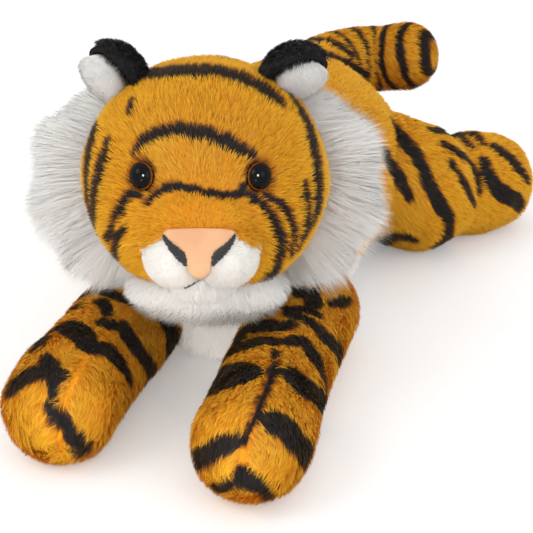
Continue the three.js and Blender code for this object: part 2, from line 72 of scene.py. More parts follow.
torso = {
    "front": 80, "length": 173, "width": 103, "height": 99, "drop": 0.6, "lumps": 0.9, "lumpSize": 45,
    "lumpSeed": 3,
    "shares": [
        (0, 0, 0, 0.235), (0.025, 0.235, 0.19, 0.041), (0.085, 0.355, 0.305, 0), (0.18, 0.42, 0.394, 0),
        (0.32, 0.46, 0.444, 0), (0.53, 0.478, 0.476, 0), (0.73, 0.5, 0.497, 0), (0.87, 0.465, 0.463, 0.03),
        (0.96, 0.295, 0.295, 0.17), (1, 0, 0, 0.46),
    ],
}
belly = {"top": 20, "chestBack": 60, "chestSlope": 14, "chestTop": 90, "flankRise": 16, "flankBlend": (8, -22),
         "chestBlend": (-30, -60), "sheetOut": 0.5, "sheetThick": 0.6, "sheetLevel": 0.3}
neck = {"place": (0, -57, 63), "leanDeg": 45, "cut": 0.35, "fillingCut": 1.5}
head = {
    "length": 87, "width": 94, "height": 91, "fromNeck": 38, "turnDeg": 17, "lookUpDeg": 8, "lumps": 0.5,
    "lumpSize": 34, "lumpSeed": 5,
    "shares": [
        (0, 0, 0, -0.07), (0.03, 0.17, 0.165, -0.065), (0.1, 0.315, 0.305, -0.045), (0.24, 0.435, 0.425, -0.02),
        (0.44, 0.495, 0.49, 0), (0.64, 0.49, 0.485, 0.01), (0.83, 0.4, 0.395, 0.02), (0.95, 0.25, 0.25, 0.03),
        (1, 0, 0, 0.03),
    ],
    "snout": {"middle": (0, -38, -8), "radii": (18, 13, 13), "core": 0.35},
}
# Places along a limb and its girth there, as shares of its reach and radius
frontRoute = [
    (0, 0, 0, 1), (0.01, -0.34, -0.005, 0.976), (0.038, -0.68, -0.008, 0.956), (0.07, -0.9, 0.004, 1),
    (0.075, -1, 0.002, 0.97),
]
frontRightRoute = [
    (0, 0, 0, 1), (0.01, -0.33, -0.005, 0.99), (0.014, -0.66, -0.008, 0.97), (0.003, -0.87, 0.005, 1.024),
    (-0.005, -0.96, 0.002, 1),
]
# A full thigh, a crease and a rounded foot
hindRoute = [
    (0, 0, 0, 1), (0.304, 0.18, -0.165, 1.03), (0.52, 0.44, -0.25, 0.8), (0.72, 0.68, -0.27, 0.84),
    (0.82, 0.8, -0.28, 0.8),
]
tailRoute = [
    (0, 0, 0, 1), (0, 0.333, 0.108, 0.971), (0.167, 0.6, 0.158, 0.903), (0.433, 0.733, 0.175, 0.869),
    (0.675, 0.7, 0.233, 0.914),
]
frontLeg = {"reach": 106, "radius": 20.5, "lumps": 0.5}
hindLeg = {"reach": 56, "radius": 30, "lumps": 0.6, "route": hindRoute}
limbs = {
    "front_leg_left": {**frontLeg, "hinge": (35, -54, 20), "side": 1, "route": frontRoute},
    "front_leg_right": {**frontLeg, "hinge": (-35, -54, 20), "side": -1, "route": frontRightRoute},
    "hind_leg_left": {**hindLeg, "hinge": (41, 64, 40), "side": 1},
    "hind_leg_right": {**hindLeg, "hinge": (-41, 64, 40), "side": -1},
    "tail": {"reach": 60, "radius": 17.5, "lumps": 0.4, "hinge": (-2, 82, 70), "side": 1, "route": tailRoute},
}
legNames = [name for name in limbs if "leg" in name]
# How far a cloth stands out of its form and a filling stays inside it, and how near they come to the floor
clothSizes = {"out": 0.2, "limbOut": 0.3, "torsoLevel": 1.2, "limbLevel": 0.3}
fillingSizes = {"in": 3.6, "limbIn": 3.2, "level": 3.6, "limbLevel": 3.4}
# Rings and sides of the meshes
detail = {"torso": (84, 96), "head": (72, 96), "egg": (28, 36), "throat": (32, 48), "ear": (16, 48), "ruff": (60, 20),
          "eye": (26, 48), "limb": (56, 56), "limbEnd": 9, "filling": (40, 48), "limbFilling": (30, 32)}


def unit(vectors):
    return vectors / np.maximum(np.linalg.norm(vectors, axis=-1, keepdims=True), 1e-9)


def smooth(low, high, values):
    share = np.clip((values - low) / (high - low), 0, 1)
    return share * share * (3 - 2 * share)


def through(rows, shares):
    # A centripetal curve through the rows, at shares from 0 to 1
    rows = np.asarray(rows, float)
    last = len(rows) - 1
    rows = np.vstack([2 * rows[0] - rows[1], rows, 2 * rows[-1] - rows[-2]])
    spot = np.clip(np.asarray(shares, float), 0, 1) * last
    first = np.minimum(spot.astype(int), last - 1)
    w = (spot - first)[:, None]
    a, b, c, d = (rows[first + k] for k in range(4))
    step = lambda p, q: np.maximum(((q - p) ** 2).sum(1, keepdims=True), 1e-10) ** 0.25
    ab, bc, cd = step(a, b), step(b, c), step(c, d)
    start = ((b - a) / ab - (c - a) / (ab + bc) + (c - b) / bc) * bc
    end = ((c - b) / bc - (d - b) / (bc + cd) + (d - c) / cd) * bc
    return b + start * w + (3 * (c - b) - 2 * start - end) * w**2 + (2 * (b - c) + start + end) * w**3


waves = {"count": 7, "shortest": 0.7, "longest": 1.5, "height": 2}


def ripples(points, size, seed):
    # Soft bumps of about this size, between about -1 and 1
    rng, count = np.random.default_rng(seed), waves["count"]
    ways = unit(rng.normal(size=(count, 3))) * (2 * np.pi / size)
    ways = ways * rng.uniform(waves["shortest"], waves["longest"], (count, 1))
    return np.sin(points @ ways.T + rng.uniform(0, 2 * np.pi, count)).mean(1) * waves["height"]


def triangles(faces):
    out = []
    for face in faces:
        for k in range(1, len(face) - 1):
            out.append((face[0], face[k], face[k + 1]))
    return np.array(out, int)


def surfaceOf(verts, faces):
    # What the pile grows on: points, triangles with their areas, and smooth normals
    verts = np.asarray(verts, float)
    tris = triangles(faces)
    flat = np.cross(verts[tris[:, 1]] - verts[tris[:, 0]], verts[tris[:, 2]] - verts[tris[:, 0]])
    normals = np.zeros_like(verts)
    for k in range(3):
        np.add.at(normals, tris[:, k], flat)
    return {"verts": verts, "tris": tris, "normals": unit(normals), "areas": np.linalg.norm(flat, axis=1) / 2}


def loft(rings, start, end):
    # A closed skin through rings of points that narrows to a point at both ends
    count, sides = rings.shape[:2]
    verts = np.vstack([start, rings.reshape(-1, 3), end])
    at = lambda r, s: 1 + r * sides + s % sides
    last = len(verts) - 1
    faces = []
    for s in range(sides):
        faces.append((0, at(0, s), at(0, s + 1)))
        for r in range(count - 1):
            faces.append((at(r, s), at(r + 1, s), at(r + 1, s + 1), at(r, s + 1)))
        faces.append((last, at(count - 1, s + 1), at(count - 1, s)))
    return verts, faces


def barrelTable(form, steps=240):
    # Place, half width, half height and middle height along the form
    t = np.linspace(0, 1, steps)
    rows = through([row[1:] for row in form["shares"]], t)
    place = through([row[:1] for row in form["shares"]], t)[:, 0]
    return place, np.maximum(rows[:, 0], 0) * form["width"], np.maximum(rows[:, 1], 0) * form["height"], rows[:, 2]


def barrel(form, start, middles, grow, rings, sides):
    # middles turns the last share of a row into the height of the form's middle
    t = (1 - np.cos(np.pi * np.linspace(0, 1, rings + 2))) / 2
    place, wide, high, lift = barrelTable(form)
    grid = np.linspace(0, 1, len(place))
    place, wide, high, lift = (np.interp(t, grid, v) for v in (place, wide, high, lift))
    y = start - grow + place * (form["length"] + 2 * grow)
    z = middles(high, lift)
    angle = np.linspace(0, 2 * np.pi, sides, endpoint=False)
    wide, high = np.maximum(wide + grow, 0), np.maximum(high + grow, 0)
    points = np.stack([
        wide[:, None] * np.cos(angle),
        np.repeat(y[:, None], sides, 1),
        z[:, None] + high[:, None] * np.sin(angle),
    ], -1)
    ends = [np.array([0, y[k], z[k]]) for k in (0, -1)]
    return loft(points[1:-1], *ends)


torsoMiddle = lambda high, lift: high + lift * torso["height"] - torso["drop"]
headMiddle = lambda high, lift: lift * head["height"]

# The neck seam and the head's own frame: x to its left, y back, z up
lean = math.radians(neck["leanDeg"])
neckWay = np.array([0, -math.sin(lean), math.cos(lean)])
neckPlace = np.array(neck["place"], float)
headPlace = neckPlace + neckWay * head["fromNeck"]
headTurn = np.array(Matrix.Rotation(math.radians(head["turnDeg"]), 3, "Z")
                    @ Matrix.Rotation(-math.radians(head["lookUpDeg"]), 3, "X"))


def toHead(points):
    return (points - headPlace) @ headTurn


def fromHead(points):
    return points @ headTurn.T + headPlace


def limbLine(limb, steps=60):
    # Middle line, radius and directions along a leg or the tail
    route = np.array(limb["route"], float)
    route[:, 0] *= limb["side"]
    rows = np.hstack([route[:, :3] * limb["reach"] + limb["hinge"], route[:, 3:] * limb["radius"]])
    t = np.linspace(0, 1, steps)
    places = through(rows[:, :3], t)
    girth = through(rows[:, 3:], t)[:, 0]
    ahead = unit(np.gradient(places, axis=0))
    side = unit(np.cross((0, 0, 1), ahead))
    return places, girth, ahead, side, np.cross(ahead, side)


def limbForm(limb, grow, rings, sides):
    # A rounded tube along the limb's line
    places, girth, ahead, side, rise = limbLine(limb, rings)
    angle = -np.linspace(0, 2 * np.pi, sides, endpoint=False)
    girth = girth + grow
    rows = []

    def ring(k, radius, shift):
        middle = places[k] + ahead[k] * shift
        return middle + radius * (side[k] * np.cos(angle)[:, None] + rise[k] * np.sin(angle)[:, None])

    leans = np.linspace(0, np.pi / 2, detail["limbEnd"] + 2)[1:-1]
    for lean in leans:
        rows.append(ring(0, girth[0] * math.sin(lean), -girth[0] * math.cos(lean)))
    for k in range(rings):
        rows.append(ring(k, girth[k], 0))
    for lean in leans[::-1]:
        rows.append(ring(-1, girth[-1] * math.sin(lean), girth[-1] * math.cos(lean)))
    tips = [places[0] - ahead[0] * girth[0], places[-1] + ahead[-1] * girth[-1]]
    return loft(np.array(rows), *tips)


def rest(verts, level):
    # Lies flat where it meets the floor
    return np.column_stack([verts[:, :2], np.maximum(verts[:, 2], level)])


def insideBarrel(points, form, start, middles, margin):
    place, wide, high, lift = barrelTable(form)
    y = (points[:, 1] - start) / form["length"]
    w, h, m = (np.interp(y, place, v) for v in (wide, high, middles(high, lift)))
    w, h = np.maximum(w + margin, 0.1), np.maximum(h + margin, 0.1)
    return (points[:, 0] / w) ** 2 + ((points[:, 2] - m) / h) ** 2 < 1


def insideTorso(points, margin):
    return insideBarrel(points, torso, -torso["front"], torsoMiddle, margin)


def insideHead(points, margin):
    return insideBarrel(toHead(points), head, -head["length"] / 2, headMiddle, margin)


def toLine(points, line):
    # Nearest spot on a line of points: its number and the distance
    best = np.full(len(points), 1e9)
    spot = np.zeros(len(points), int)
    for k, place in enumerate(line):
        away = ((points - place) ** 2).sum(1)
        nearer = away < best
        best[nearer], spot[nearer] = away[nearer], k
    return spot, np.sqrt(best)


def insideLimb(points, name, margin):
    places, girth = limbLine(limbs[name])[:2]
    spot, away = toLine(points, places)
    return away < girth[spot] + margin


def pastNeck(points):
    # Height above the neck seam, along the neck
    return (points - neckPlace) @ neckWay


# Finishes: each tone is a place on one scale of pile colours, from black over orange to white

# The muzzle's white sits a little below the other whites: painted shade on the brightly lit muzzle
tones = {"black": 0.05, "brown": 0.24, "orange": 0.5, "muzzle": 0.9, "white": 0.95}
# Each tone has a darker root colour and a lighter tip colour: the darker root is painted shade deep in the pile
pileColoursShadedAtRoot = {
    "root": [(0.0, (9, 8, 9)), (0.14, (14, 11, 10)), (0.24, (66, 36, 10)), (0.36, (168, 88, 6)), (0.5, (236, 138, 6)),
             (0.64, (238, 158, 24)), (0.78, (238, 210, 160)), (0.92, (250, 248, 244))],
    "tip": [(0.0, (30, 27, 29)), (0.14, (44, 38, 37)), (0.24, (132, 78, 22)), (0.36, (238, 156, 16)),
            (0.5, (255, 200, 28)), (0.64, (255, 214, 76)), (0.78, (250, 236, 204)), (0.92, (253, 252, 250))],
}


def linear(red, green, blue):
    curve = lambda c: c / 12.92 if c <= 0.04045 else ((c + 0.055) / 1.055) ** 2.4
    return tuple(curve(c / 255) for c in (red, green, blue)) + (1,)


def addNode(tree, kind, place, values=None, **settings):
    node = tree.nodes.new(kind)
    node.location = place
    for key, value in settings.items():
        setattr(node, key, value)
    for label, value in (values or {}).items():
        node.inputs[label].default_value = value
    return node


def link(tree, *joins):
    # Each join is a node and its output, then a node and its input
    for source, made, target, taken in joins:
        tree.links.new(source.outputs[made], target.inputs[taken])


def addRamp(tree, place, stops):
    node = addNode(tree, "ShaderNodeValToRGB", place)
    points = node.color_ramp.elements
    while len(points) < len(stops):
        points.new(0.5)
    for point, (spot, colour) in zip(points, stops):
        point.position, point.color = spot, linear(*colour)
    return node


def newGroup(name, inputs, outputs):
    group = bpy.data.node_groups.new(name, "ShaderNodeTree")
    for label, kind, value in inputs:
        socket = group.interface.new_socket(label, in_out="INPUT", socket_type=kind)
        socket.default_value = value
    for label, kind in outputs:
        group.interface.new_socket(label, in_out="OUTPUT", socket_type=kind)
    return group, addNode(group, "NodeGroupInput", (-700, 0)), addNode(group, "NodeGroupOutput", (500, 0))


def buildPileColour():
    # The colour of one hair from its tone and the place along it, darker towards the root as painted shade
    group, given, made = newGroup(
        "pileColour",
        [("Tone", "NodeSocketFloat", 0.5), ("Along", "NodeSocketFloat", 0.5)],
        [("Color", "NodeSocketColor")],
    )
    root = addRamp(group, (-400, 150), pileColoursShadedAtRoot["root"])
    tip = addRamp(group, (-400, -150), pileColoursShadedAtRoot["tip"])
    mix = addNode(group, "ShaderNodeMix", (200, 0), data_type="RGBA")
    link(group, (given, "Tone", root, "Fac"), (given, "Tone", tip, "Fac"), (given, "Along", mix, "Factor"),
         (root, "Color", mix, "A"), (tip, "Color", mix, "B"), (mix, "Result", made, "Color"))
    return group


def buildClothGrain():
    # Fine threads that cross, and the fuzz between them
    group, given, made = newGroup(
        "clothGrain",
        [("Vector", "NodeSocketVector", (0, 0, 0)), ("Threads", "NodeSocketFloat", 900.0),
         ("Fuzz", "NodeSocketFloat", 0.5)],
        [("Height", "NodeSocketFloat"), ("Mottle", "NodeSocketFloat")],
    )
    cross = addNode(group, "ShaderNodeMath", (-150, 150), operation="MAXIMUM")
    for number, way in enumerate("XZ"):
        wave = addNode(group, "ShaderNodeTexWave", (-400, 250 * (1 - number)), {"Distortion": 1.5, "Detail": 1},
                       bands_direction=way)
        link(group, (given, "Vector", wave, "Vector"), (given, "Threads", wave, "Scale"),
             (wave, "Fac", cross, number))
    fuzz = addNode(group, "ShaderNodeTexNoise", (-400, -250), {"Detail": 4, "Roughness": 0.7})
    mix = addNode(group, "ShaderNodeMix", (100, 0), data_type="FLOAT")
    broad = addNode(group, "ShaderNodeTexNoise", (-400, -500), {"Scale": 60, "Detail": 3})
    link(group, (given, "Vector", fuzz, "Vector"), (given, "Threads", fuzz, "Scale"), (given, "Fuzz", mix, "Factor"),
         (cross, "Value", mix, "A"), (fuzz, "Fac", mix, "B"), (given, "Vector", broad, "Vector"),
         (mix, "Result", made, "Height"), (broad, "Fac", made, "Mottle"))
    return group


groups = {"pileColour": buildPileColour(), "clothGrain": buildClothGrain()}


def newMaterial(name, **values):
    material = bpy.data.materials.new(name)
    material.use_nodes = True
    tree = material.node_tree
    shader = tree.nodes["Principled BSDF"]
    for label, value in values.items():
        shader.inputs[label.replace("_", " ")].default_value = value
    return material, tree, shader


def useGroup(tree, name, place, **values):
    return addNode(tree, "ShaderNodeGroup", place, values, node_tree=groups[name])


# Piles by their sheen and its tint; cloths by their two colours, the fineness and fuzz of their threads, and bumps
pileFinish = {"roughness": 0.7, "specular": 0.2, "sheenRoughness": 0.5}
piles = {
    "pile": {"name": "stripedPile", "sheen": 0.12, "tint": (255, 196, 90)},
    "whitePile": {"name": "whitePile", "sheen": 0.3, "tint": (255, 252, 246)},
    "darkPile": {"name": "darkPile", "sheen": 0.12, "tint": (226, 228, 240)},
}
backingFinish = {"roughness": 0.9, "specular": 0.15, "threads": 700, "fuzz": 0.6, "mottle": 0.08, "along": 0.25,
                 "bump": 0.6, "deep": 0.0004}
clothFinish = {"lowAt": 0.35, "highAt": 0.65, "deep": 0.0003}
cloths = {
    "nose": {"name": "noseSatin", "low": (236, 172, 122), "high": (248, 192, 138), "threads": 1500, "fuzz": 0.25,
             "bump": 0.5, "roughness": 0.5, "sheen": 0.4},
    "thread": {"name": "blackThread", "low": (12, 11, 12), "high": (30, 28, 30), "threads": 2600, "fuzz": 0.4,
               "bump": 0.7, "roughness": 0.55, "sheen": 0.2},
    "stuffing": {"name": "stuffingFibre", "low": (226, 226, 224), "high": (246, 246, 244), "threads": 350,
                 "fuzz": 1.0, "bump": 0.9, "roughness": 0.95, "sheen": 0.5},
    "pouch": {"name": "pouchCloth", "low": (214, 208, 194), "high": (232, 227, 214), "threads": 1100, "fuzz": 0.2,
              "bump": 0.5, "roughness": 0.85, "sheen": 0.2},
    "washer": {"name": "washerPlastic", "low": (224, 224, 222), "high": (238, 238, 236), "threads": 180, "fuzz": 1.0,
               "bump": 0.1, "roughness": 0.4, "sheen": 0.0},
}
eyeFinish = {
    "roughness": 0.2, "coat": 0.3, "coatRoughness": 0.03, "streakSize": 22, "streaks": 0.06,
    # Black pupil, amber brown towards the rim, dark at the very edge
    "rings": [(0.0, (3, 3, 4)), (0.87, (4, 4, 4)), (0.9, (60, 30, 11)), (0.95, (150, 78, 24)), (0.985, (60, 30, 12)),
              (1.0, (10, 7, 6))],
}


def uvParts(tree, left):
    # The two numbers of a piece's UV map
    spot = addNode(tree, "ShaderNodeUVMap", (left, 0), uv_map="OFBake")
    parts = addNode(tree, "ShaderNodeSeparateXYZ", (left + 200, 0))
    link(tree, (spot, "UV", parts, "Vector"))
    return spot, parts


def pileMaterial(pile):
    # Each hair keeps its tone and the place along it in the two numbers of its UV map
    material, tree, shader = newMaterial(
        pile["name"], Roughness=pileFinish["roughness"], Specular_IOR_Level=pileFinish["specular"],
        Sheen_Weight=pile["sheen"], Sheen_Roughness=pileFinish["sheenRoughness"], Sheen_Tint=linear(*pile["tint"]))
    parts = uvParts(tree, -900)[1]
    colour = useGroup(tree, "pileColour", (-300, 0))
    link(tree, (parts, "X", colour, "Tone"), (parts, "Y", colour, "Along"), (colour, "Color", shader, "Base Color"))
    return material


def addGrain(tree, shader, finish, deep):
    spot = addNode(tree, "ShaderNodeTexCoord", (-1100, -300))
    grain = useGroup(tree, "clothGrain", (-700, -300), Threads=finish["threads"], Fuzz=finish["fuzz"])
    bump = addNode(tree, "ShaderNodeBump", (-200, -300), {"Strength": finish["bump"], "Distance": deep})
    link(tree, (spot, "Object", grain, "Vector"), (grain, "Height", bump, "Height"),
         (bump, "Normal", shader, "Normal"))
    return grain


def backingMaterial():
    # The dyed cloth that the pile stands on, coloured as a quarter of the way up a hair, so with some of the painted
    # shade of the roots
    finish = backingFinish
    material, tree, shader = newMaterial("backingCloth", Roughness=finish["roughness"],
                                         Specular_IOR_Level=finish["specular"])
    tone = addNode(tree, "ShaderNodeAttribute", (-1100, 100), attribute_name="tone")
    grain = addGrain(tree, shader, finish, finish["deep"])
    spread = addNode(tree, "ShaderNodeMath", (-700, 100), {1: finish["mottle"]}, operation="MULTIPLY_ADD")
    colour = useGroup(tree, "pileColour", (-300, 100), Along=finish["along"])
    link(tree, (grain, "Mottle", spread, 0), (tone, "Fac", spread, 2), (spread, "Value", colour, "Tone"),
         (colour, "Color", shader, "Base Color"))
    return material


def clothMaterial(cloth):
    material, tree, shader = newMaterial(cloth["name"], Roughness=cloth["roughness"], Sheen_Weight=cloth["sheen"])
    grain = addGrain(tree, shader, cloth, clothFinish["deep"])
    ramp = addRamp(tree, (-450, 100), [(clothFinish["lowAt"], cloth["low"]), (clothFinish["highAt"], cloth["high"])])
    link(tree, (grain, "Mottle", ramp, "Fac"), (ramp, "Color", shader, "Base Color"))
    return material


def eyeMaterial():
    # The UV map's first number is the radius
    material, tree, shader = newMaterial(
        "eyePlastic", Roughness=eyeFinish["roughness"], Specular_IOR_Level=0.0, Coat_Weight=eyeFinish["coat"],
        Coat_Roughness=eyeFinish["coatRoughness"])
    spot, parts = uvParts(tree, -1100)
    streak = addNode(tree, "ShaderNodeTexNoise", (-900, -250), {"Scale": eyeFinish["streakSize"]})
    bend = addNode(tree, "ShaderNodeMath", (-650, 0), {1: eyeFinish["streaks"]}, operation="MULTIPLY_ADD")
    ramp = addRamp(tree, (-450, 0), eyeFinish["rings"])
    link(tree, (spot, "UV", streak, "Vector"), (streak, "Fac", bend, 0), (parts, "X", bend, 2),
         (bend, "Value", ramp, "Fac"), (ramp, "Color", shader, "Base Color"))
    return material


materials = {key: pileMaterial(pile) for key, pile in piles.items()}
materials.update({key: clothMaterial(cloth) for key, cloth in cloths.items()})
materials.update({"backing": backingMaterial(), "eye": eyeMaterial()})
print("finishes ready:", len(materials))

# Making meshes


def makePiece(name, verts, faces, material, body, uv=None, tone=None, normals=None, stands=()):
    # faces are lists of corners, or one flat list of corners with the number of corners of each face
    if isinstance(faces, tuple):
        corners, sizes = faces
    else:
        corners, sizes = np.concatenate([np.asarray(face) for face in faces]), np.array([len(face) for face in faces])
    mesh = bpy.data.meshes.new(name)
    mesh.vertices.add(len(verts))
    mesh.vertices.foreach_set("co", (np.asarray(verts, float) * millimetre).ravel())
    mesh.loops.add(len(corners))
    mesh.loops.foreach_set("vertex_index", corners)
    mesh.polygons.add(len(sizes))
    mesh.polygons.foreach_set("loop_start", np.concatenate([[0], np.cumsum(sizes)[:-1]]))
    mesh.polygons.foreach_set("loop_total", sizes)
    mesh.polygons.foreach_set("use_smooth", np.ones(len(sizes), bool))
    mesh.update(calc_edges=True)
    if uv is not None:
        layer = mesh.uv_layers.new(name="OFBake")
        uv = np.asarray(uv, float)
        layer.data.foreach_set("uv", (uv if len(uv) == len(corners) else uv[corners]).ravel())
    if tone is not None:
        mesh.attributes.new("tone", "FLOAT", "POINT").data.foreach_set("value", np.asarray(tone, np.float32))
    if normals is not None:
        mesh.normals_split_custom_set_from_vertices(np.asarray(normals, float).tolist())
    mesh.materials.append(materials[material])
    piece = bpy.data.objects.new(name, mesh)
    bpy.context.scene.collection.objects.link(piece)
    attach(piece, body)
    if stands:
        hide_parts(*stands)
    return piece


def makeCloth(name, verts, faces, corners, tone, body, stands):
    # The backing cloth of a form, dyed like the pile on it; corners are the rings and sides of its loft
    return makePiece(name, verts, faces, "backing", body, uv=loftCorners(*corners),
                     tone=np.broadcast_to(tone, len(verts)), stands=stands)


def loftCorners(rings, sides):
    # UV corners of a loft's faces, in the order that loft makes them
    u = lambda r: (r + 1) / (rings + 1)
    out = []
    for s in range(sides):
        a, b = s / sides, (s + 1) / sides
        out += [(0, a), (u(0), a), (u(0), b)]
        for r in range(rings - 1):
            out += [(u(r), a), (u(r + 1), a), (u(r + 1), b), (u(r), b)]
        out += [(1, b), (u(rings - 1), b), (u(rings - 1), a)]
    return np.array(out)


def egg(middle, radii, rings=detail["egg"][0], sides=detail["egg"][1]):
    lean = np.pi * (np.arange(rings) + 1) / (rings + 1)
    angle = np.linspace(0, 2 * np.pi, sides, endpoint=False)
    points = np.stack([
        np.sin(lean)[:, None] * np.sin(angle),
        np.repeat(-np.cos(lean)[:, None], sides, 1),
        np.sin(lean)[:, None] * np.cos(angle),
    ], -1)
    middle, radii = np.array(middle, float), np.array(radii, float)
    return loft(points[:, ::-1] * radii + middle, middle - (0, radii[1], 0), middle + (0, radii[1], 0))


def insideEgg(points, middle, radii, margin):
    return (((points - np.array(middle)) / (np.array(radii) + margin)) ** 2).sum(1) < 1


# A way that no thread runs along
askew = (0.13, 0.21, 0.97)


def tube(path, radius, sides=8):
    # A thread along a path, with round ends
    path = np.asarray(path, float)
    ahead = unit(np.gradient(path, axis=0))
    side = unit(np.cross(ahead, askew))
    rise = np.cross(side, ahead)
    angle = np.linspace(0, 2 * np.pi, sides, endpoint=False)
    radius = np.broadcast_to(np.asarray(radius, float), len(path))
    rows = [
        path[k] + radius[k] * (side[k] * np.cos(angle)[:, None] + rise[k] * np.sin(angle)[:, None])
        for k in range(len(path))
    ]
    return loft(np.array(rows), path[0] - ahead[0] * radius[0], path[-1] + ahead[-1] * radius[-1])


def joined(parts):
    # Several forms as one
    verts, faces, before = [], [], 0
    for points, sides in parts:
        verts.append(points)
        faces += [tuple(np.asarray(face) + before) for face in sides]
        before += len(points)
    return np.vstack(verts), faces


# What every hair has, and what a pile has where its own values say nothing else
hair = {
    "shortest": 0.7, "longest": 1.12, "thinnest": 0.7, "thickest": 1.15, "taper": 0.35, "rootDeep": 0.2, "rise": 0.35,
    "sweep": 0.12, "leanSpread": 0.13, "leastLean": 0.1, "mostLean": 1.45, "leastPull": 0.3, "turn": 0.5,
    "round": 0.35, "toneFrom": 0.35, "toneAcross": 0.004, "swirl": 0.35, "swirlSize": 26, "stray": 0.16, "droop": 0.1,
    "steps": (0, 0.5, 1), "shade": (0, 0, 0), "rough": 0.22, "toneSpread": 0.055,
}


def growPile(name, ground, plan, toneAt, groomAt, body, keepAt, material="pile", lengthAt=None):
    # Hairs as thin pointed blades that stand on a surface, lean along its groom and fall in tufts
    plan = {**hair, **plan}
    rng = np.random.default_rng(plan["seed"])
    count = int(ground["areas"].sum() * plan["density"])
    pick = rng.choice(len(ground["tris"]), count, p=ground["areas"] / ground["areas"].sum())
    a, b = rng.random((2, count))
    over = a + b > 1
    a[over], b[over] = 1 - a[over], 1 - b[over]
    corners = ground["tris"][pick]
    shares = np.stack([1 - a - b, a, b], 1)[..., None]
    roots = (ground["verts"][corners] * shares).sum(1)
    out = unit((ground["normals"][corners] * shares).sum(1))
    kept = keepAt(roots, out)
    roots, out = roots[kept], out[kept]
    count = len(roots)
    length = plan["length"] * rng.uniform(plan["shortest"], plan["longest"], count)
    if lengthAt is not None:
        length = length * lengthAt(roots, out)
    along = unit(groomAt(roots, out))
    swirl = np.stack([ripples(roots, plan["swirlSize"], plan["seed"] + k) for k in range(3)], 1)
    along = along + swirl * plan["swirl"] + rng.normal(size=(count, 3)) * plan["stray"]
    along = unit(along - out * (along * out).sum(1, keepdims=True))
    lean = np.radians(plan["lean"]) + rng.normal(0, plan["leanSpread"], count)
    lean = np.clip(lean, plan["leastLean"], plan["mostLean"])[:, None]
    down = np.array([0, 0, -1.0]) * plan["droop"]
    size = length[:, None]

    def path(s):
        # Places of all hairs at a share of their length
        rise, sweep = s - plan["rise"] * s * s, s + plan["sweep"] * s * s
        return roots - out * plan["rootDeep"] + size * (
            out * np.cos(lean) * rise + along * np.sin(lean) * sweep + down * s * s)

    tips = path(1.0)
    # Tufts: each hair's tip bends towards that of the hair in the middle of its tuft
    middles = rng.choice(count, max(1, count // plan["perTuft"]), replace=False)
    tree = KDTree(len(middles))
    for k, spot in enumerate(roots[middles]):
        tree.insert(Vector(spot), k)
    tree.balance()
    tuft = middles[[tree.find(Vector(spot))[1] for spot in roots]]
    pull = (tips[tuft] - tips) * (plan["pull"] * rng.uniform(plan["leastPull"], 1.0, count))[:, None]
    steps = plan["steps"]
    ahead = unit(tips + pull - roots)
    across = unit(np.cross(ahead, out))
    turn = np.clip(rng.normal(0, plan["turn"], count), -1, 1)[:, None]
    across = across * np.cos(turn) + np.cross(ahead, across) * np.sin(turn)
    half = plan["width"] / 2 * rng.uniform(plan["thinnest"], plan["thickest"], count)[:, None]
    shade = unit(out + np.array(plan["shade"]) + rng.normal(0, plan["rough"], (count, 3)))
    toneHere = toneAt(roots + along * size * plan["toneFrom"] * np.sin(lean))
    toneHere = np.clip(toneHere + rng.normal(0, plan["toneSpread"], count), 0.01, 0.99)
    each = 2 * (len(steps) - 1) + 1
    verts, normals = np.empty((count, each, 3)), np.empty((count, each, 3))
    uv = np.empty((count, each, 2))
    for k, s in enumerate(steps[:-1]):
        spot = path(s) + pull * s * s
        for hand, sign in ((0, -1), (1, 1)):
            verts[:, 2 * k + hand] = spot + across * half * sign * (1 - plan["taper"] * s)
            normals[:, 2 * k + hand] = unit(shade + across * plan["round"] * sign)
            uv[:, 2 * k + hand] = np.stack([toneHere + plan["toneAcross"] * sign, np.full(count, s)], 1)
    verts[:, -1], normals[:, -1] = tips + pull, shade
    uv[:, -1] = np.stack([toneHere, np.ones(count)], 1)
    verts[..., 2] = np.maximum(verts[..., 2], floorLevel)
    pattern, sizes = [], []
    for k in range(len(steps) - 2):
        pattern += [2 * k, 2 * k + 1, 2 * k + 3, 2 * k + 2]
        sizes.append(4)
    pattern += [each - 3, each - 2, each - 1]
    sizes.append(3)
    cornersFlat = (np.arange(count)[:, None] * each + np.array(pattern)).ravel()
    faces = (cornersFlat.astype(np.int32), np.tile(sizes, count))
    makePiece(name, verts.reshape(-1, 3), faces, material, body, uv=uv.reshape(-1, 2),
              normals=normals.reshape(-1, 3))
    print("grown", name, count, "hairs")


def treeOf(ground):
    return BVHTree.FromPolygons(ground["verts"].tolist(), ground["tris"].tolist())


drawing = {"step": 3.0, "beside": 4.0, "mostWidening": 2.6, "endWidth": 0.45, "endTaper": 4, "close": 0.8}
ragged = {"inside": 0.5, "outside": 1.1, "fineSize": 7, "fine": 0.35, "coarseSize": 19, "coarse": 0.3}
patches = {"coatSize": 30, "coat": 0.025, "plainSize": 24, "plain": 0.02, "plainSeed": 77}


def widened(points):
    # The width across a line is seen shortened where the form slants away from the camera
    ahead = unit(np.gradient(points[:, :3], axis=0))
    across = unit(np.cross(points[:, 4:], ahead))
    seenAhead = unit((ahead @ viewTurn)[:, :2])
    seenAcross = (across @ viewTurn)[:, :2]
    shortened = np.abs(seenAcross[:, 0] * seenAhead[:, 1] - seenAcross[:, 1] * seenAhead[:, 0])
    wide = points[:, 3] / np.maximum(shortened, 1 / drawing["mostWidening"])
    return np.column_stack([points[:, :3], wide]).tolist()


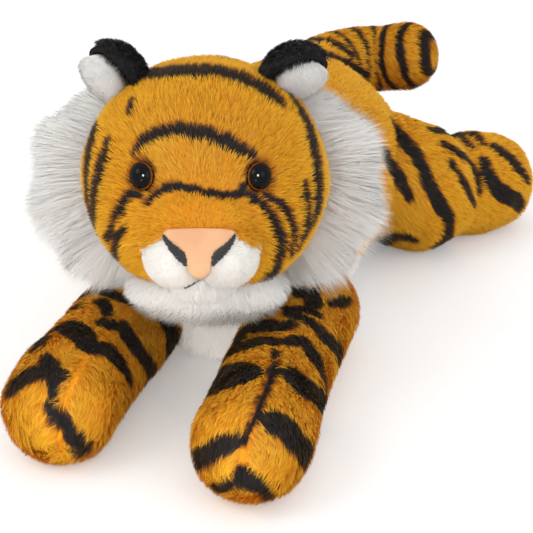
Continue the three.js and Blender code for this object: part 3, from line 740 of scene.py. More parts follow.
def drawnOn(ground, rows):
    # Lines drawn in the picture, as rows of (across, down, width) in its pixels, are laid on a form
    # as rows of (x, y, z, half width)
    surface = treeOf(ground)
    eyePoint = np.array(view["place"])
    far = (eyePoint - ground["verts"].mean(0)) @ viewTurn[:, 2]
    laid = []
    for row in rows:
        row = np.array(row, float)
        length = np.linalg.norm(np.diff(row[:, :2], axis=0), axis=1).sum()
        points = []
        for across, down, wide in through(row, np.linspace(0, 1, max(2, int(length / drawing["step"])))):
            offset = np.array([across - view["pixels"] / 2, view["pixels"] / 2 - down, -focal]) / focal
            way = viewTurn @ offset
            spot, normal = surface.ray_cast(Vector(eyePoint), Vector(way))[:2]
            if spot is None:
                spot, normal, _, beside = surface.find_nearest(Vector(eyePoint + way * far))
                if beside > drawing["beside"]:
                    continue
            depth = (eyePoint - np.array(spot)) @ viewTurn[:, 2]
            points.append((*spot, wide * depth / focal / 2, *normal))
        if len(points) > 1:
            laid.append(widened(np.array(points)))
    return laid


def evenRows(rows):
    # One half width for a whole row of points, narrower towards both ends
    out = []
    for wide, points in rows:
        last = len(points) - 1
        fromEnd = [min(k, last - k) / last for k in range(last + 1)]
        shares = [min(1, drawing["endWidth"] + drawing["endTaper"] * away) for away in fromEnd]
        out.append([(*point, wide * share) for point, share in zip(points, shares)])
    return out


def layStripes(rows, ground):
    # Black lines on a form: rows of points with half widths, each brought down to its surface
    surface = treeOf(ground)
    spots, widths = [], []
    for row in rows:
        points, wide = np.array(row, float)[:, :3], np.array(row, float)[:, 3]
        for k in range(len(points) - 1):
            steps = max(1, int(np.linalg.norm(points[k + 1] - points[k]) / drawing["close"]))
            for s in np.linspace(0, 1, steps, endpoint=False):
                spots.append(surface.find_nearest(Vector(points[k] * (1 - s) + points[k + 1] * s))[0])
                widths.append(wide[k] * (1 - s) + wide[k + 1] * s)
    tree = KDTree(len(spots))
    for k, spot in enumerate(spots):
        tree.insert(spot, k)
    tree.balance()
    return {"tree": tree, "widths": np.array(widths)}


def towards(tone, name, share):
    # This share of the way from a tone to a named one
    return tone + (tones[name] - tone) * share


def onLine(width, away):
    # 1 on a line and 0 away from it
    return 1 - smooth(width - ragged["inside"], width + ragged["outside"], away)


def stripeShare(lines, points, seed, edge):
    # Lines with a ragged edge
    found = [lines["tree"].find(Vector(point)) for point in points]
    away = np.array([hit[2] for hit in found])
    width = lines["widths"][[hit[1] for hit in found]] + edge
    fine, coarse = ripples(points, ragged["fineSize"], seed), ripples(points, ragged["coarseSize"], seed + 5)
    return onLine(width + fine * ragged["fine"] + coarse * ragged["coarse"], away)


def striped(lines, seed, edge):
    # Tone of a striped coat, a little lighter and darker in soft patches
    def toneAt(points):
        coat = tones["orange"] + ripples(points, patches["coatSize"], seed + 9) * patches["coat"]
        return towards(coat, "black", stripeShare(lines, points, seed, edge))

    return toneAt


def plain(tone, spread=patches["plain"]):
    return lambda points: tones[tone] + ripples(points, patches["plainSize"], patches["plainSeed"]) * spread


# Torso: a padded bean with a white underside and chest


def cutAtNeck(verts, side, gap=neck["cut"]):
    # Flat where head and torso are sewn together: side is 1 for the head and -1 for the torso
    past = pastNeck(verts) * side
    return verts + neckWay * side * np.maximum(gap - past, 0)[:, None]


def lumpy(verts, faces, size, height, seed):
    normals = surfaceOf(verts, faces)["normals"]
    return verts + normals * (ripples(verts, size, seed) * height)[:, None]


def isBelly(points):
    ahead, high = -points[:, 1], points[:, 2]
    slope = belly["chestSlope"] / (belly["chestTop"] - belly["top"])
    chest = (ahead > belly["chestBack"] - slope * (high - belly["top"])) & (high < belly["chestTop"])
    flank = belly["top"] + belly["flankRise"] * smooth(*belly["flankBlend"], points[:, 1])
    return (high < flank) | chest


torsoVerts, torsoFaces = barrel(torso, -torso["front"], torsoMiddle, clothSizes["out"], *detail["torso"])
torsoVerts = lumpy(torsoVerts, torsoFaces, torso["lumpSize"], torso["lumps"], torso["lumpSeed"])
torsoVerts = rest(cutAtNeck(torsoVerts, -1), clothSizes["torsoLevel"])
torsoGround = surfaceOf(torsoVerts, torsoFaces)

# On the flank and hind leg that the picture shows
flankStripes = [
    [
        (389, 124, 7), (396, 133, 11), (404, 143, 13), (417, 160, 13), (429, 187, 12), (440, 206, 12),
        (447, 222, 11), (444, 236, 10), (432, 246, 8)
    ],
    [(378, 150, 8), (385, 162, 12), (397, 178, 12), (410, 199, 7)],
    [(429, 131, 6), (445, 133, 6), (458, 138, 6), (470, 149, 5)],
    [(441, 144, 6), (455, 152, 7), (465, 160, 7), (473, 174, 6), (476, 192, 5)],
    [(449, 163, 6), (457, 176, 7), (466, 191, 6), (472, 205, 4)],
    [(379, 239, 7), (393, 234, 8), (405, 234, 7), (414, 237, 5)],
    [(482, 163, 10), (486, 175, 13), (494, 187, 16), (505, 195, 16), (514, 200, 13), (522, 213, 7)],
    [(492, 148, 7), (503, 155, 9), (512, 164, 9), (526, 181, 6)],
    [(497, 229, 7), (511, 228, 6)],
    [(463, 128, 5), (476, 138, 6), (482, 147, 5)],
]
# On the far side and the rump
backStripes = [
    (2.4, [(-46, 16, 66), (-38, 14, 80), (-22, 12, 92), (-6, 11, 98)]),
    (2.2, [(-45, -12, 44), (-41, -18, 60), (-32, -24, 76), (-16, -28, 88), (2, -30, 92)]),
    (1.8, [(-30, -8, 82), (-41, -4, 68), (-47, 2, 52), (-48, 6, 38)]),
    (2.4, [(-46, 44, 66), (-36, 40, 81), (-20, 37, 93), (-4, 36, 98)]),
    (1.9, [(-41, 32, 74), (-33, 29, 85), (-20, 26, 94)]),
    (2.2, [(-46, 57, 68), (-34, 57, 80), (-18, 57, 92), (-4, 56, 96)]),
    (1.7, [(-36, 80, 52), (-33, 78, 66), (-24, 75, 78), (-12, 73, 87)]),
    (1.5, [(-17, 84, 54), (-10, 86, 66), (0, 86, 70)]),
    (2.2, [(45, -12, 44), (41, -18, 60), (33, -25, 74)]),
    (1.8, [(41, -4, 68), (47, 2, 52), (48, 6, 38)]),
    (1.5, [(17, 84, 54), (10, 86, 66), (0, 86, 70)]),
]


def mirrored(rows):
    return [[(-x, y, z, wide) for x, y, z, wide in row] for row in rows]


flankRows = drawnOn(torsoGround, flankStripes)
torsoLines = layStripes(flankRows + mirrored(flankRows) + evenRows(backStripes), torsoGround)
torsoPile = {"density": 2.3, "length": 6.6, "lean": 48, "width": 0.36, "perTuft": 30, "pull": 0.35, "seed": 11,
             "stray": 0.2, "droop": 0.12, "groom": (0, 1, 0), "sideGroom": (0, 0, -0.55), "buried": 2.5, "neckGap": 2,
             "lowest": 2, "lowShort": 0.35, "lowBlend": (12, 5), "stripeSeed": 21, "stripeEdge": 0.15}
bellyPile = {"density": 2.2, "length": 8.5, "lean": 62, "width": 0.34, "perTuft": 30, "pull": 0.4, "seed": 12,
             "swirl": 0.45, "stray": 0.22, "droop": 0.2, "steps": (0, 0.35, 0.7, 1), "shade": (0, -0.5, 0.6),
             "groom": (0, 0.8, -0.4), "chestGroom": (0, -0.15, -1), "buried": 3, "neckGap": 1, "lowest": 1.8,
             "chestShort": 0.35}


def clearOf(points, forms, margin):
    # True where a root isn't buried in one of the named forms
    free = np.ones(len(points), bool)
    for form in forms:
        if form == "torso":
            free &= ~insideTorso(points, margin)
        elif form == "head":
            free &= ~insideHead(points, margin)
        else:
            free &= ~insideLimb(points, form, margin)
    return free


torsoTone = striped(torsoLines, torsoPile["stripeSeed"], torsoPile["stripeEdge"])
torsoDye = np.where(isBelly(torsoVerts), tones["white"], torsoTone(torsoVerts))
torsoSkin = makeCloth("torso_cloth", torsoVerts, torsoFaces, detail["torso"], torsoDye, "torso",
                      ["body_skin"])


def shownOnTorso(roots, plan):
    # Clear of the head and limbs, below the neck's seam and above the floor
    clear = clearOf(roots, ["head"] + legNames + ["tail"], -plan["buried"])
    return clear & (pastNeck(roots) < -plan["neckGap"]) & (roots[:, 2] > plan["lowest"])


def torsoGroom(roots, out):
    return np.array(torsoPile["groom"]) + np.array(torsoPile["sideGroom"]) * (1 - np.abs(out[:, 2:]))


def torsoLength(roots, out):
    return 1 - torsoPile["lowShort"] * smooth(*torsoPile["lowBlend"], roots[:, 2])


torsoKept = lambda roots, out: ~isBelly(roots) & shownOnTorso(roots, torsoPile)
growPile("torso_pile", torsoGround, torsoPile, torsoTone, torsoGroom, "torso", torsoKept,
         lengthAt=torsoLength)

# The white cloth under the belly and over the chest, a thin sheet laid on the torso
middles = np.array([torsoVerts[list(face)].mean(0) for face in torsoFaces])
bellyFaces = [face for face, inside in zip(torsoFaces, isBelly(middles)) if inside]
used = sorted({corner for face in bellyFaces for corner in face})
place = {corner: k for k, corner in enumerate(used)}
bellyOuter = rest(torsoVerts[used] + torsoGround["normals"][used] * belly["sheetOut"], belly["sheetLevel"])
bellySheet = makePiece("belly_cloth", bellyOuter, [tuple(place[c] for c in face) for face in bellyFaces], "backing",
                       "torso", tone=np.full(len(used), tones["white"]), stands=["belly_panel"])
thick = bellySheet.modifiers.new("sheet", "SOLIDIFY")
thick.thickness, thick.offset = belly["sheetThick"] * millimetre, 1


def onChest(roots):
    return smooth(*belly["chestBlend"], roots[:, 1])


def bellyGroom(roots, out):
    chest = onChest(roots)[:, None]
    return np.array(bellyPile["groom"]) * (1 - chest) + np.array(bellyPile["chestGroom"]) * chest


bellyKept = lambda roots, out: isBelly(roots) & shownOnTorso(roots, bellyPile)
growPile("chest_and_belly_pile", torsoGround, bellyPile, plain("white"), bellyGroom, "torso", bellyKept,
         material="whitePile", lengthAt=lambda roots, out: 1 - bellyPile["chestShort"] * onChest(roots))
print("torso made")

# Head: a stuffed ball with a snout, black lines over the brow and cheeks

headStripes = [
    [
        (124, 86, 6), (138, 80, 10), (150, 77, 12), (175, 74, 14), (203, 73, 14), (228, 77, 14),
        (252, 86, 12), (270, 98, 11), (281, 108, 6)
    ],
    [
        (136, 155, 5), (144, 145, 8), (152, 139, 10), (164, 134, 10), (175, 131, 10), (202, 135, 10),
        (223, 142, 10), (242, 152, 9), (254, 159, 5)
    ],
    [
        (148, 203, 3), (159, 193, 5), (175, 187, 7), (190, 189, 7), (205, 194, 6), (219, 197, 6),
        (232, 196, 5), (243, 193, 4)
    ],
    [(243, 193, 4), (241, 184, 3)],
    [(242, 192, 4), (263, 207, 6), (275, 227, 7), (278, 246, 7), (271, 268, 8), (257, 284, 9)],
    [(263, 195, 4), (282, 207, 6), (289, 224, 5), (290, 239, 5), (287, 255, 3)],
    [(301, 184, 4), (304, 207, 5), (301, 233, 5), (294, 248, 3)],
    [(287, 97, 6), (299, 113, 9), (308, 136, 9), (313, 163, 9), (314, 192, 8), (311, 215, 7), (298, 238, 4)],
    [
        (113, 95, 5), (103, 114, 7), (95, 140, 8), (91, 165, 8), (91, 192, 7), (95, 214, 7), (103, 238, 6),
        (111, 247, 3)
    ],
    [(111, 142, 5), (105, 162, 9), (100, 184, 9), (98, 202, 8), (98, 221, 7), (99, 232, 4)],
    [(144, 196, 4), (131, 194, 5), (123, 207, 6), (117, 221, 6), (110, 239, 4)],
    [(127, 227, 4), (120, 240, 6), (120, 262, 6), (128, 278, 5), (136, 286, 4)],
    [(134, 104, 6), (131, 120, 3)],
]
backOfHeadStripes = [
    (1.9, [(-33, 16, 28), (-20, 19, 37), (-7, 16, 42), (8, 15, 43), (21, 18, 37), (33, 16, 28)]),
    (1.7, [(-30, 27, 20), (-16, 32, 27), (0, 34, 30), (15, 32, 27), (30, 28, 19)]),
    (1.9, [(-35, 26, 2), (-22, 36, 8), (-6, 41, 11), (12, 40, 10), (26, 34, 7), (36, 25, 3)]),
    (1.6, [(-28, 33, -9), (-12, 40, -9), (4, 42, -8), (18, 38, -9), (30, 31, -10)]),
]
headPile = {"density": 3.6, "length": 5.2, "lean": 42, "width": 0.28, "perTuft": 14, "pull": 0.2, "seed": 31,
            "swirl": 0.25, "swirlSize": 18, "stray": 0.2, "droop": 0.05, "from": (0, -46, -14), "down": (0, 0, -0.15),
            "faceGap": 0.6, "eyeGap": 0.5, "neckGap": 1, "buried": 2, "jawLong": 1.6, "jawBlend": (1, -3),
            "snoutShort": 0.6, "snout": (0, -48, -8), "snoutBlend": (12, 32), "stripeSeed": 41, "stripeEdge": 0.2}
jaw = {"height": -36, "blend": (1.2, -0.8), "raggedSize": 9, "ragged": 1.2, "seed": 44}
eye = {"x": 21.2, "z": 9.6, "width": 11.2, "narrow": 0.88, "dome": 4.8, "gap": 0.5, "lid": (0.2, 2.08),
       "rim": 0.96, "back": -0.6}
muzzle = {"x": 9.5, "y": -43, "z": -19, "radii": (12, 14.5, 12), "gap": 0.15, "whiteTop": -9.5, "whiteSlope": 0.8,
          "whiteFrom": 13, "blend": (-0.3, 0.5), "raggedSize": 6, "ragged": 0.5, "seed": 57, "paleFrom": 0.8,
          "front": -40}
chin = {"middle": (0, -37, -31), "radii": (13, 10, 7.5)}
nose = {"top": -6.5, "bottom": -22, "width": 26, "frontTop": 52.5, "frontBottom": 61, "crown": 0.55,
        "middle": 0.72, "outline": 34, "behind": -44, "below": 4, "under": (1, 2.2, -50),
        # Share of the outline and rise of each layer, from the back to the crown
        "layers": [(0.96, -8), (1.0, -2.5), (1.0, -0.7), (0.97, 0.0), (0.92, 0.35), (0.8, 0.7), (0.55, 0.95),
                   (0.28, 1.05)], "peak": 1.07,
        "half": [(0, 18.4), (6, 18.3), (11, 17.8), (13.2, 16.8), (12.6, 15.4), (9.6, 12.3), (5.9, 9.6), (4.9, 7.6),
                 (4.4, 4.4), (3.6, 2.2), (2.0, 0.6), (0, 0)]}

lobes = {side: ((side * muzzle["x"], muzzle["y"], muzzle["z"]), muzzle["radii"]) for side in (1, -1)}
faceForms = [*lobes.values(), (chin["middle"], chin["radii"])]


def snoutPush(points):
    # Raises the face to the bridge of the nose, with a soft edge
    middle, radii = np.array(head["snout"]["middle"], float), np.array(head["snout"]["radii"], float)
    way = points - middle
    far = np.sqrt(((way / radii) ** 2).sum(1))
    raised = points + way * (np.maximum(1 / np.maximum(far, head["snout"]["core"]), 1) - 1)[:, None]
    return np.where((points[:, 1] < middle[1])[:, None], raised, points)


headVerts, headFaces = barrel(head, -head["length"] / 2, headMiddle, clothSizes["out"], *detail["head"])
headVerts = snoutPush(lumpy(headVerts, headFaces, head["lumpSize"], head["lumps"], head["lumpSeed"]))
headLocal = surfaceOf(headVerts, headFaces)
headPlaced = cutAtNeck(fromHead(headVerts), 1)
headGround = surfaceOf(headPlaced, headFaces)
behindRows = [[(*fromHead(np.array(point[:3], float)), point[3]) for point in row]
              for row in evenRows(backOfHeadStripes)]
headLines = layStripes(drawnOn(headGround, headStripes) + behindRows, headGround)


def eyeSeat(side):
    # Where the eye meets the face, and the way the face looks there
    tree = BVHTree.FromPolygons(headVerts.tolist(), headLocal["tris"].tolist())
    spot, normal = tree.ray_cast(Vector((side * eye["x"], -head["length"], eye["z"])), Vector((0, 1, 0)))[:2]
    return np.array(spot), np.array(normal)


eyeSeats = {1: eyeSeat(1), -1: eyeSeat(-1)}
headTones = striped(headLines, headPile["stripeSeed"], headPile["stripeEdge"])


def headTone(points):
    local = toHead(points)
    tone = headTones(points)
    for spot, _ in eyeSeats.values():
        away = np.linalg.norm((local - spot) / (eye["narrow"], 1, 1), axis=1)
        ring = 1 - smooth(*(eye["width"] / 2 + np.array(eye["lid"])), away)
        tone = towards(tone, "brown", ring * (tone > tones["brown"]))
    high = local[:, 2] + ripples(points, jaw["raggedSize"], jaw["seed"]) * jaw["ragged"] - jaw["height"]
    return towards(tone, "white", smooth(*jaw["blend"], high))


def nearFace(points, margin):
    # Inside the nose, muzzle or chin
    local = toHead(points)
    buried = insideEgg(local, chin["middle"], chin["radii"], margin)
    for middle, radii in lobes.values():
        buried |= insideEgg(local, middle, radii, margin)
    across, ahead, high = local.T
    pad = (ahead < nose["behind"]) & (high < nose["top"] + margin) & (high > nose["bottom"])
    half = nose["width"] / 2 * smooth(nose["bottom"] - nose["below"], nose["top"], high)
    return buried | pad & (np.abs(across) < half + margin)


def besideEyes(points, margin):
    local = toHead(points)
    clear = np.ones(len(points), bool)
    for spot, _ in eyeSeats.values():
        clear &= np.linalg.norm((local - spot) / (eye["narrow"], 1, 1), axis=1) > eye["width"] / 2 + margin
    return clear


headSkin = makeCloth("head_cloth", headPlaced, headFaces, detail["head"], headTone(headPlaced), "head",
                     ["head_skin"])


def headGroom(roots, out):
    way = toHead(roots) - np.array(headPile["from"])
    return way @ headTurn.T + np.array(headPile["down"]) * np.linalg.norm(way, axis=1, keepdims=True)


def headKept(roots, out, side):
    shown = (toHead(roots)[:, 1] * side > 0) & ~nearFace(roots, -headPile["faceGap"])
    shown &= besideEyes(roots, -headPile["eyeGap"]) & (pastNeck(roots) > headPile["neckGap"])
    return shown & clearOf(roots, ["torso"], -headPile["buried"])


def faceLength(roots, out):
    # Shorter round the snout and longer under the jaw
    local, short = toHead(roots), headPile["snoutShort"]
    near = smooth(*headPile["snoutBlend"], np.linalg.norm(local - headPile["snout"], axis=1))
    low = smooth(*headPile["jawBlend"], local[:, 2] - jaw["height"])
    return short + (1 - short) * near + headPile["jawLong"] * low


for side, label in ((-1, "face_pile"), (1, "back_of_head_pile")):
    growPile(label, headGround, {**headPile, "seed": headPile["seed"] + side}, headTone, headGroom, "head",
             lambda roots, out, side=side: headKept(roots, out, side), lengthAt=faceLength)
print("head made")

# Muzzle and chin: smooth short white velvet

muzzlePile = {"density": 3.6, "length": 2.2, "lean": 52, "width": 0.3, "perTuft": 12, "pull": 0.2, "seed": 51,
              "swirl": 0.25, "stray": 0.18, "droop": 0.05, "toneSpread": 0.02, "rough": 0.2, "from": (0, -58, -16),
              "middleGap": 0.35}
muzzleTopPile = {**headPile, "length": 3.6, "seed": 57}
chinPile = {**muzzlePile, "length": 4.0, "lean": 55, "seed": 55, "groom": (0, 0.2, -1), "neckGap": 0.5}
faceSink = {"head": 0.6, "others": 0.4}
whiteSpread = 0.01


def muzzleGroom(roots, out):
    return (toHead(roots) - np.array(muzzlePile["from"])) @ headTurn.T


def buriedInFace(roots, others):
    buried = insideHead(roots, -faceSink["head"])
    for middle, radii in others:
        buried |= insideEgg(toHead(roots), middle, radii, -faceSink["others"])
    return buried


def muzzleTone(points):
    # White below a slanting ragged line; this white is a little darker than the other whites, as painted shade on the
    # brightly lit muzzle
    local = toHead(points)
    edge = local[:, 2] - muzzle["whiteTop"] + muzzle["whiteSlope"] * (np.abs(local[:, 0]) - muzzle["whiteFrom"])
    edge = edge + ripples(points, muzzle["raggedSize"], muzzle["seed"]) * muzzle["ragged"]
    return towards(tones["muzzle"], "orange", smooth(*muzzle["blend"], edge))


def muzzleKept(roots, side, pale):
    # The lobe's outside, but for the strip under the nose
    across, ahead, high = toHead(roots).T
    below, half, front = nose["under"]
    under = (high > nose["bottom"] - below) & (np.abs(across) < half) & (ahead < front)
    shown = ~buriedInFace(roots, []) & (across * side > muzzlePile["middleGap"]) & ~under
    return shown & ((muzzleTone(roots) > muzzle["paleFrom"]) == pale)


for side, label in ((1, "left"), (-1, "right")):
    verts, faces = egg(*lobes[side])
    verts[:, 0] = side * np.maximum(verts[:, 0] * side, muzzle["gap"])
    verts = fromHead(verts)
    piece = makeCloth("muzzle_velvet_" + label, verts, faces, detail["egg"], muzzleTone(verts), "head",
                      ["muzzle_" + label])
    ground = surfaceOf(verts, faces)
    growPile("muzzle_pile_" + label, ground, {**muzzlePile, "seed": muzzlePile["seed"] + side}, muzzleTone,
             muzzleGroom, "head", lambda roots, out, side=side: muzzleKept(roots, side, True),
             material="whitePile")
    growPile("muzzle_top_pile_" + label, ground, {**muzzleTopPile, "seed": muzzleTopPile["seed"] + side}, muzzleTone,
             headGroom, "head", lambda roots, out, side=side: muzzleKept(roots, side, False))
chinVerts, chinFaces = egg(chin["middle"], chin["radii"])
chinVerts = fromHead(chinVerts)
chinPiece = makeCloth("chin_velvet", chinVerts, chinFaces, detail["egg"], tones["white"], "head",
                      ["chin_pad"])
chinKept = lambda roots, out: ~buriedInFace(roots, list(lobes.values())) & (pastNeck(roots) > chinPile["neckGap"])
chinGroom = lambda roots, out: np.array(chinPile["groom"]) + out * 0
growPile("chin_pile", surfaceOf(chinVerts, chinFaces), chinPile, plain("white", whiteSpread), chinGroom, "head",
         chinKept, material="whitePile")

# The full white throat behind the chin, from ruff to ruff
throat = {"middle": (1, -18, -40), "radii": (30.5, 15, 9.2), "cut": 0.8}
throatPile = {"density": 3.6, "length": 5.5, "lean": 44, "width": 0.3, "perTuft": 16, "pull": 0.35, "seed": 58,
              "swirl": 0.3, "stray": 0.25, "droop": 0.12, "toneSpread": 0.02, "spread": (0.5, 0.3, 0),
              "down": (0, -6, -14), "neckGap": 1.2, "longBelow": (-42, -49)}
throatVerts, throatFaces = egg(throat["middle"], throat["radii"], *detail["throat"])
throatVerts = cutAtNeck(fromHead(throatVerts), 1, throat["cut"])
throatPiece = makeCloth("throat_velvet", throatVerts, throatFaces, detail["throat"], tones["white"], "head",
                        ["chin_pad"])


def throatGroom(roots, out):
    way = roots - fromHead(np.array(throat["middle"], float))
    return way * throatPile["spread"] + np.array(throatPile["down"])


throatKept = lambda roots, out: ~buriedInFace(roots, faceForms) & (pastNeck(roots) > throatPile["neckGap"])
throatLength = lambda roots, out: 1 + smooth(*throatPile["longBelow"], toHead(roots)[:, 2])
growPile("throat_pile", surfaceOf(throatVerts, throatFaces), throatPile, plain("white", whiteSpread), throatGroom,
         "head", throatKept, material="whitePile", lengthAt=throatLength)
print("muzzle made")

# Nose: a padded pink triangle with black stitched nostrils, and the mouth's thread

slope = math.atan2(nose["frontBottom"] - nose["frontTop"], nose["top"] - nose["bottom"])
noseHeight = math.hypot(nose["frontBottom"] - nose["frontTop"], nose["top"] - nose["bottom"])


def onNose(points):
    # From the nose's own plane, across, up and out of it, to the part's frame
    points = np.asarray(points, float)
    across, up, out = points[:, 0], points[:, 1], points[:, 2]
    y = -nose["frontBottom"] + up * math.sin(slope) - out * math.cos(slope)
    z = nose["bottom"] + up * math.cos(slope) + out * math.sin(slope)
    return fromHead(np.stack([across, y, z], 1))


def makeNose():
    half = through(np.array(nose["half"], float), np.linspace(0, 1, nose["outline"]))
    rim = np.vstack([half, half[-2:0:-1] * (-1, 1)])
    centre = np.array([0, noseHeight * nose["middle"]])
    rows = []
    for share, rise in nose["layers"]:
        flat = centre + (rim - centre) * share
        rows.append(np.column_stack([flat, np.full(len(rim), rise * (nose["crown"] if rise > 0 else 1))]))
    ends = [np.array([*centre, rise]) for rise in (nose["layers"][0][1], nose["peak"] * nose["crown"])]
    verts, faces = loft(np.array(rows), *ends)
    return makePiece("nose_satin", onNose(verts), faces, "nose", "head", stands=["nose_patch"])


makeNose()
stitch = {"count": 34, "points": 7, "sides": 6, "thread": 0.34, "rise": 0.1, "arch": 0.4, "stray": 0.25, "ahead": 0.5,
          "seed": 61,
          "inner": [(12.9, 15.8), (9.7, 12.3), (6.3, 9.7), (4.9, 7.6), (4.7, 4.6)],
          "outer": [(13.3, 15.2), (12.0, 12.3), (10.1, 9.5), (7.8, 6.9), (5.1, 4.3)]}
mouth = {"thread": 0.55, "points": 22, "top": -22.6, "drop": 5.2, "side": 6, "lift": 1.5,
         "shares": [(0, 0), (0.05, 0.5), (0.17, 0.9), (0.5, 1.12), (1, 1.4)]}


def frontOfFace(x, z):
    # How far forward the muzzle and chin reach at this place of the face
    best = muzzle["front"]
    for middle, radii in faceForms:
        left = 1 - ((x - middle[0]) / radii[0]) ** 2 - ((z - middle[2]) / radii[2]) ** 2
        if left > 0:
            best = min(best, middle[1] - radii[1] * math.sqrt(left))
    return best


def stitchedOn(points):
    # Points of the nose's plane, brought forward where the muzzle stands in front of it
    placed = toHead(onNose(points))
    ahead = np.array([min(spot[1], frontOfFace(spot[0], spot[2]) - stitch["ahead"]) for spot in placed])
    return fromHead(np.column_stack([placed[:, 0], ahead, placed[:, 2]]))


rng = np.random.default_rng(stitch["seed"])
for side, label in ((1, "left"), (-1, "right")):
    threads = []
    spots = np.linspace(0, 1, stitch["count"])
    inner, outer = (through(np.array(stitch[edge], float), spots) for edge in ("inner", "outer"))
    inner, outer = (edge + rng.uniform(-stitch["stray"], stitch["stray"], edge.shape) for edge in (inner, outer))
    for near, far in zip(inner, outer):
        path = []
        for s in np.linspace(0, 1, stitch["points"]):
            across, up = near + (far - near) * s
            path.append([side * across, up, stitch["rise"] + stitch["arch"] * math.sin(math.pi * s)])
        threads.append(tube(stitchedOn(np.array(path)), stitch["thread"], stitch["sides"]))
    verts, faces = joined(threads)
    makePiece("nostril_stitches_" + label, verts, faces, "thread", "head",
              stands=["nostril_" + label])

mouthPath = []
for s in np.linspace(0, 1, mouth["points"]):
    aside, dropped = through(np.array(mouth["shares"], float), [s])[0]
    x, z = -aside * mouth["side"], mouth["top"] - dropped * mouth["drop"]
    mouthPath.append([x, frontOfFace(x, z) - mouth["lift"], z])
verts, faces = tube(fromHead(np.array(mouthPath)), mouth["thread"])
makePiece("mouth_thread", verts, faces, "thread", "head", stands=["mouth_stitch"])
print("nose and mouth made")

# Eyes: glossy domes on the face

eyeRings, eyeSides = detail["eye"]
for side, label in ((1, "left"), (-1, "right")):
    spot, normal = eyeSeats[side]
    turn = np.array(Vector((0, 0, 1)).rotation_difference(Vector(normal)).to_matrix())
    lean = np.linspace(0, np.pi / 2, eyeRings + 1)[1:]
    angle = np.linspace(0, 2 * np.pi, eyeSides, endpoint=False)
    wide, high = eye["width"] / 2 * np.sin(lean), eye["dome"] * np.cos(lean)
    wide, high = np.append(wide, wide[-1] * eye["rim"])[:, None], np.append(high, eye["back"])[:, None]
    rows = np.stack([wide * np.cos(angle), wide * np.sin(angle), np.repeat(high, eyeSides, 1)], -1)
    verts, faces = loft(rows[::-1], np.array([0, 0, eye["back"]]), np.array([0, 0, eye["dome"]]))
    radius = np.linalg.norm(verts[:, :2], axis=1) / (eye["width"] / 2)
    around = (np.arctan2(verts[:, 1], verts[:, 0]) / (2 * np.pi)) % 1
    flatUv = np.stack([radius, around], 1)
    cornerUv = []
    for face in faces:
        # A face across the map's seam keeps its corners together
        part = flatUv[list(face)]
        if np.ptp(part[:, 1]) > 0.5:
            part[part[:, 1] < 0.5, 1] += 1
        cornerUv.append(part)
    verts = fromHead((verts * (eye["narrow"], 1, 1)) @ turn.T + spot + normal * eye["gap"])
    makePiece("eye_dome_" + label, verts, faces, "eye", "head", uv=np.vstack(cornerUv),
              stands=["eye_" + label])
print("eyes made")

# Ears: cupped, black behind and white in the hollow

ear = {"x": 36, "y": 4, "z": 40, "width": 28, "height": 27, "cup": 12, "back": 2.2, "lining": 1.6, "between": 0.35,
       "bulge": 3.5, "outDeg": {"left": 64, "right": 36}, "turnDeg": {"left": 56, "right": 58},
       "whiteOut": {"left": 0.6, "right": 2.2}, "whiteShift": {"left": 3.0, "right": 5.0},
       # How far hairs may face forward, on the black back beside the white, on its rest, and on the white
       "backBeside": 0.45, "backRest": -0.3, "liningFront": 0.15, "buried": 1}
earPile = {"density": 5, "length": 4.8, "lean": 40, "width": 0.32, "perTuft": 26, "pull": 0.45, "seed": 71,
           "swirl": 0.3, "stray": 0.2, "toneSpread": 0.02}
liningPile = {"density": 7, "length": 2.8, "lean": 58, "width": 0.26, "perTuft": 18, "pull": 0.4, "swirl": 0.4,
              "stray": 0.3, "droop": 0.05, "steps": (0, 0.35, 0.7, 1), "toneSpread": 0.03}


def bowl(inset, thickness, bulge=None, rings=detail["ear"][0], sides=detail["ear"][1]):
    # A shell that is half an egg, from its outside to its inside, or with a bulging front in place of its hollow
    lean = np.linspace(0, np.pi / 2, rings + 1)[1:]
    angle = np.linspace(2 * np.pi, 0, sides, endpoint=False)
    rows = []
    for cut, order in ((inset, lean), (inset + thickness, lean[::-1])):
        wide, deep, high = ear["width"] / 2 - cut, ear["cup"] - cut, ear["height"] / 2 - cut
        if bulge is not None and cut > inset:
            wide, deep, high = wide + thickness, -bulge, high + thickness
            order = order[1:]
        for a in order:
            across, up = wide * math.sin(a) * np.cos(angle), high * math.sin(a) * np.sin(angle)
            rows.append(np.column_stack([across, np.full(sides, deep * math.cos(a)), up]))
    ends = [np.array([0, ear["cup"] - inset, 0]), np.array([0, deep, 0])]
    return loft(np.array(rows), *ends), len(rows)


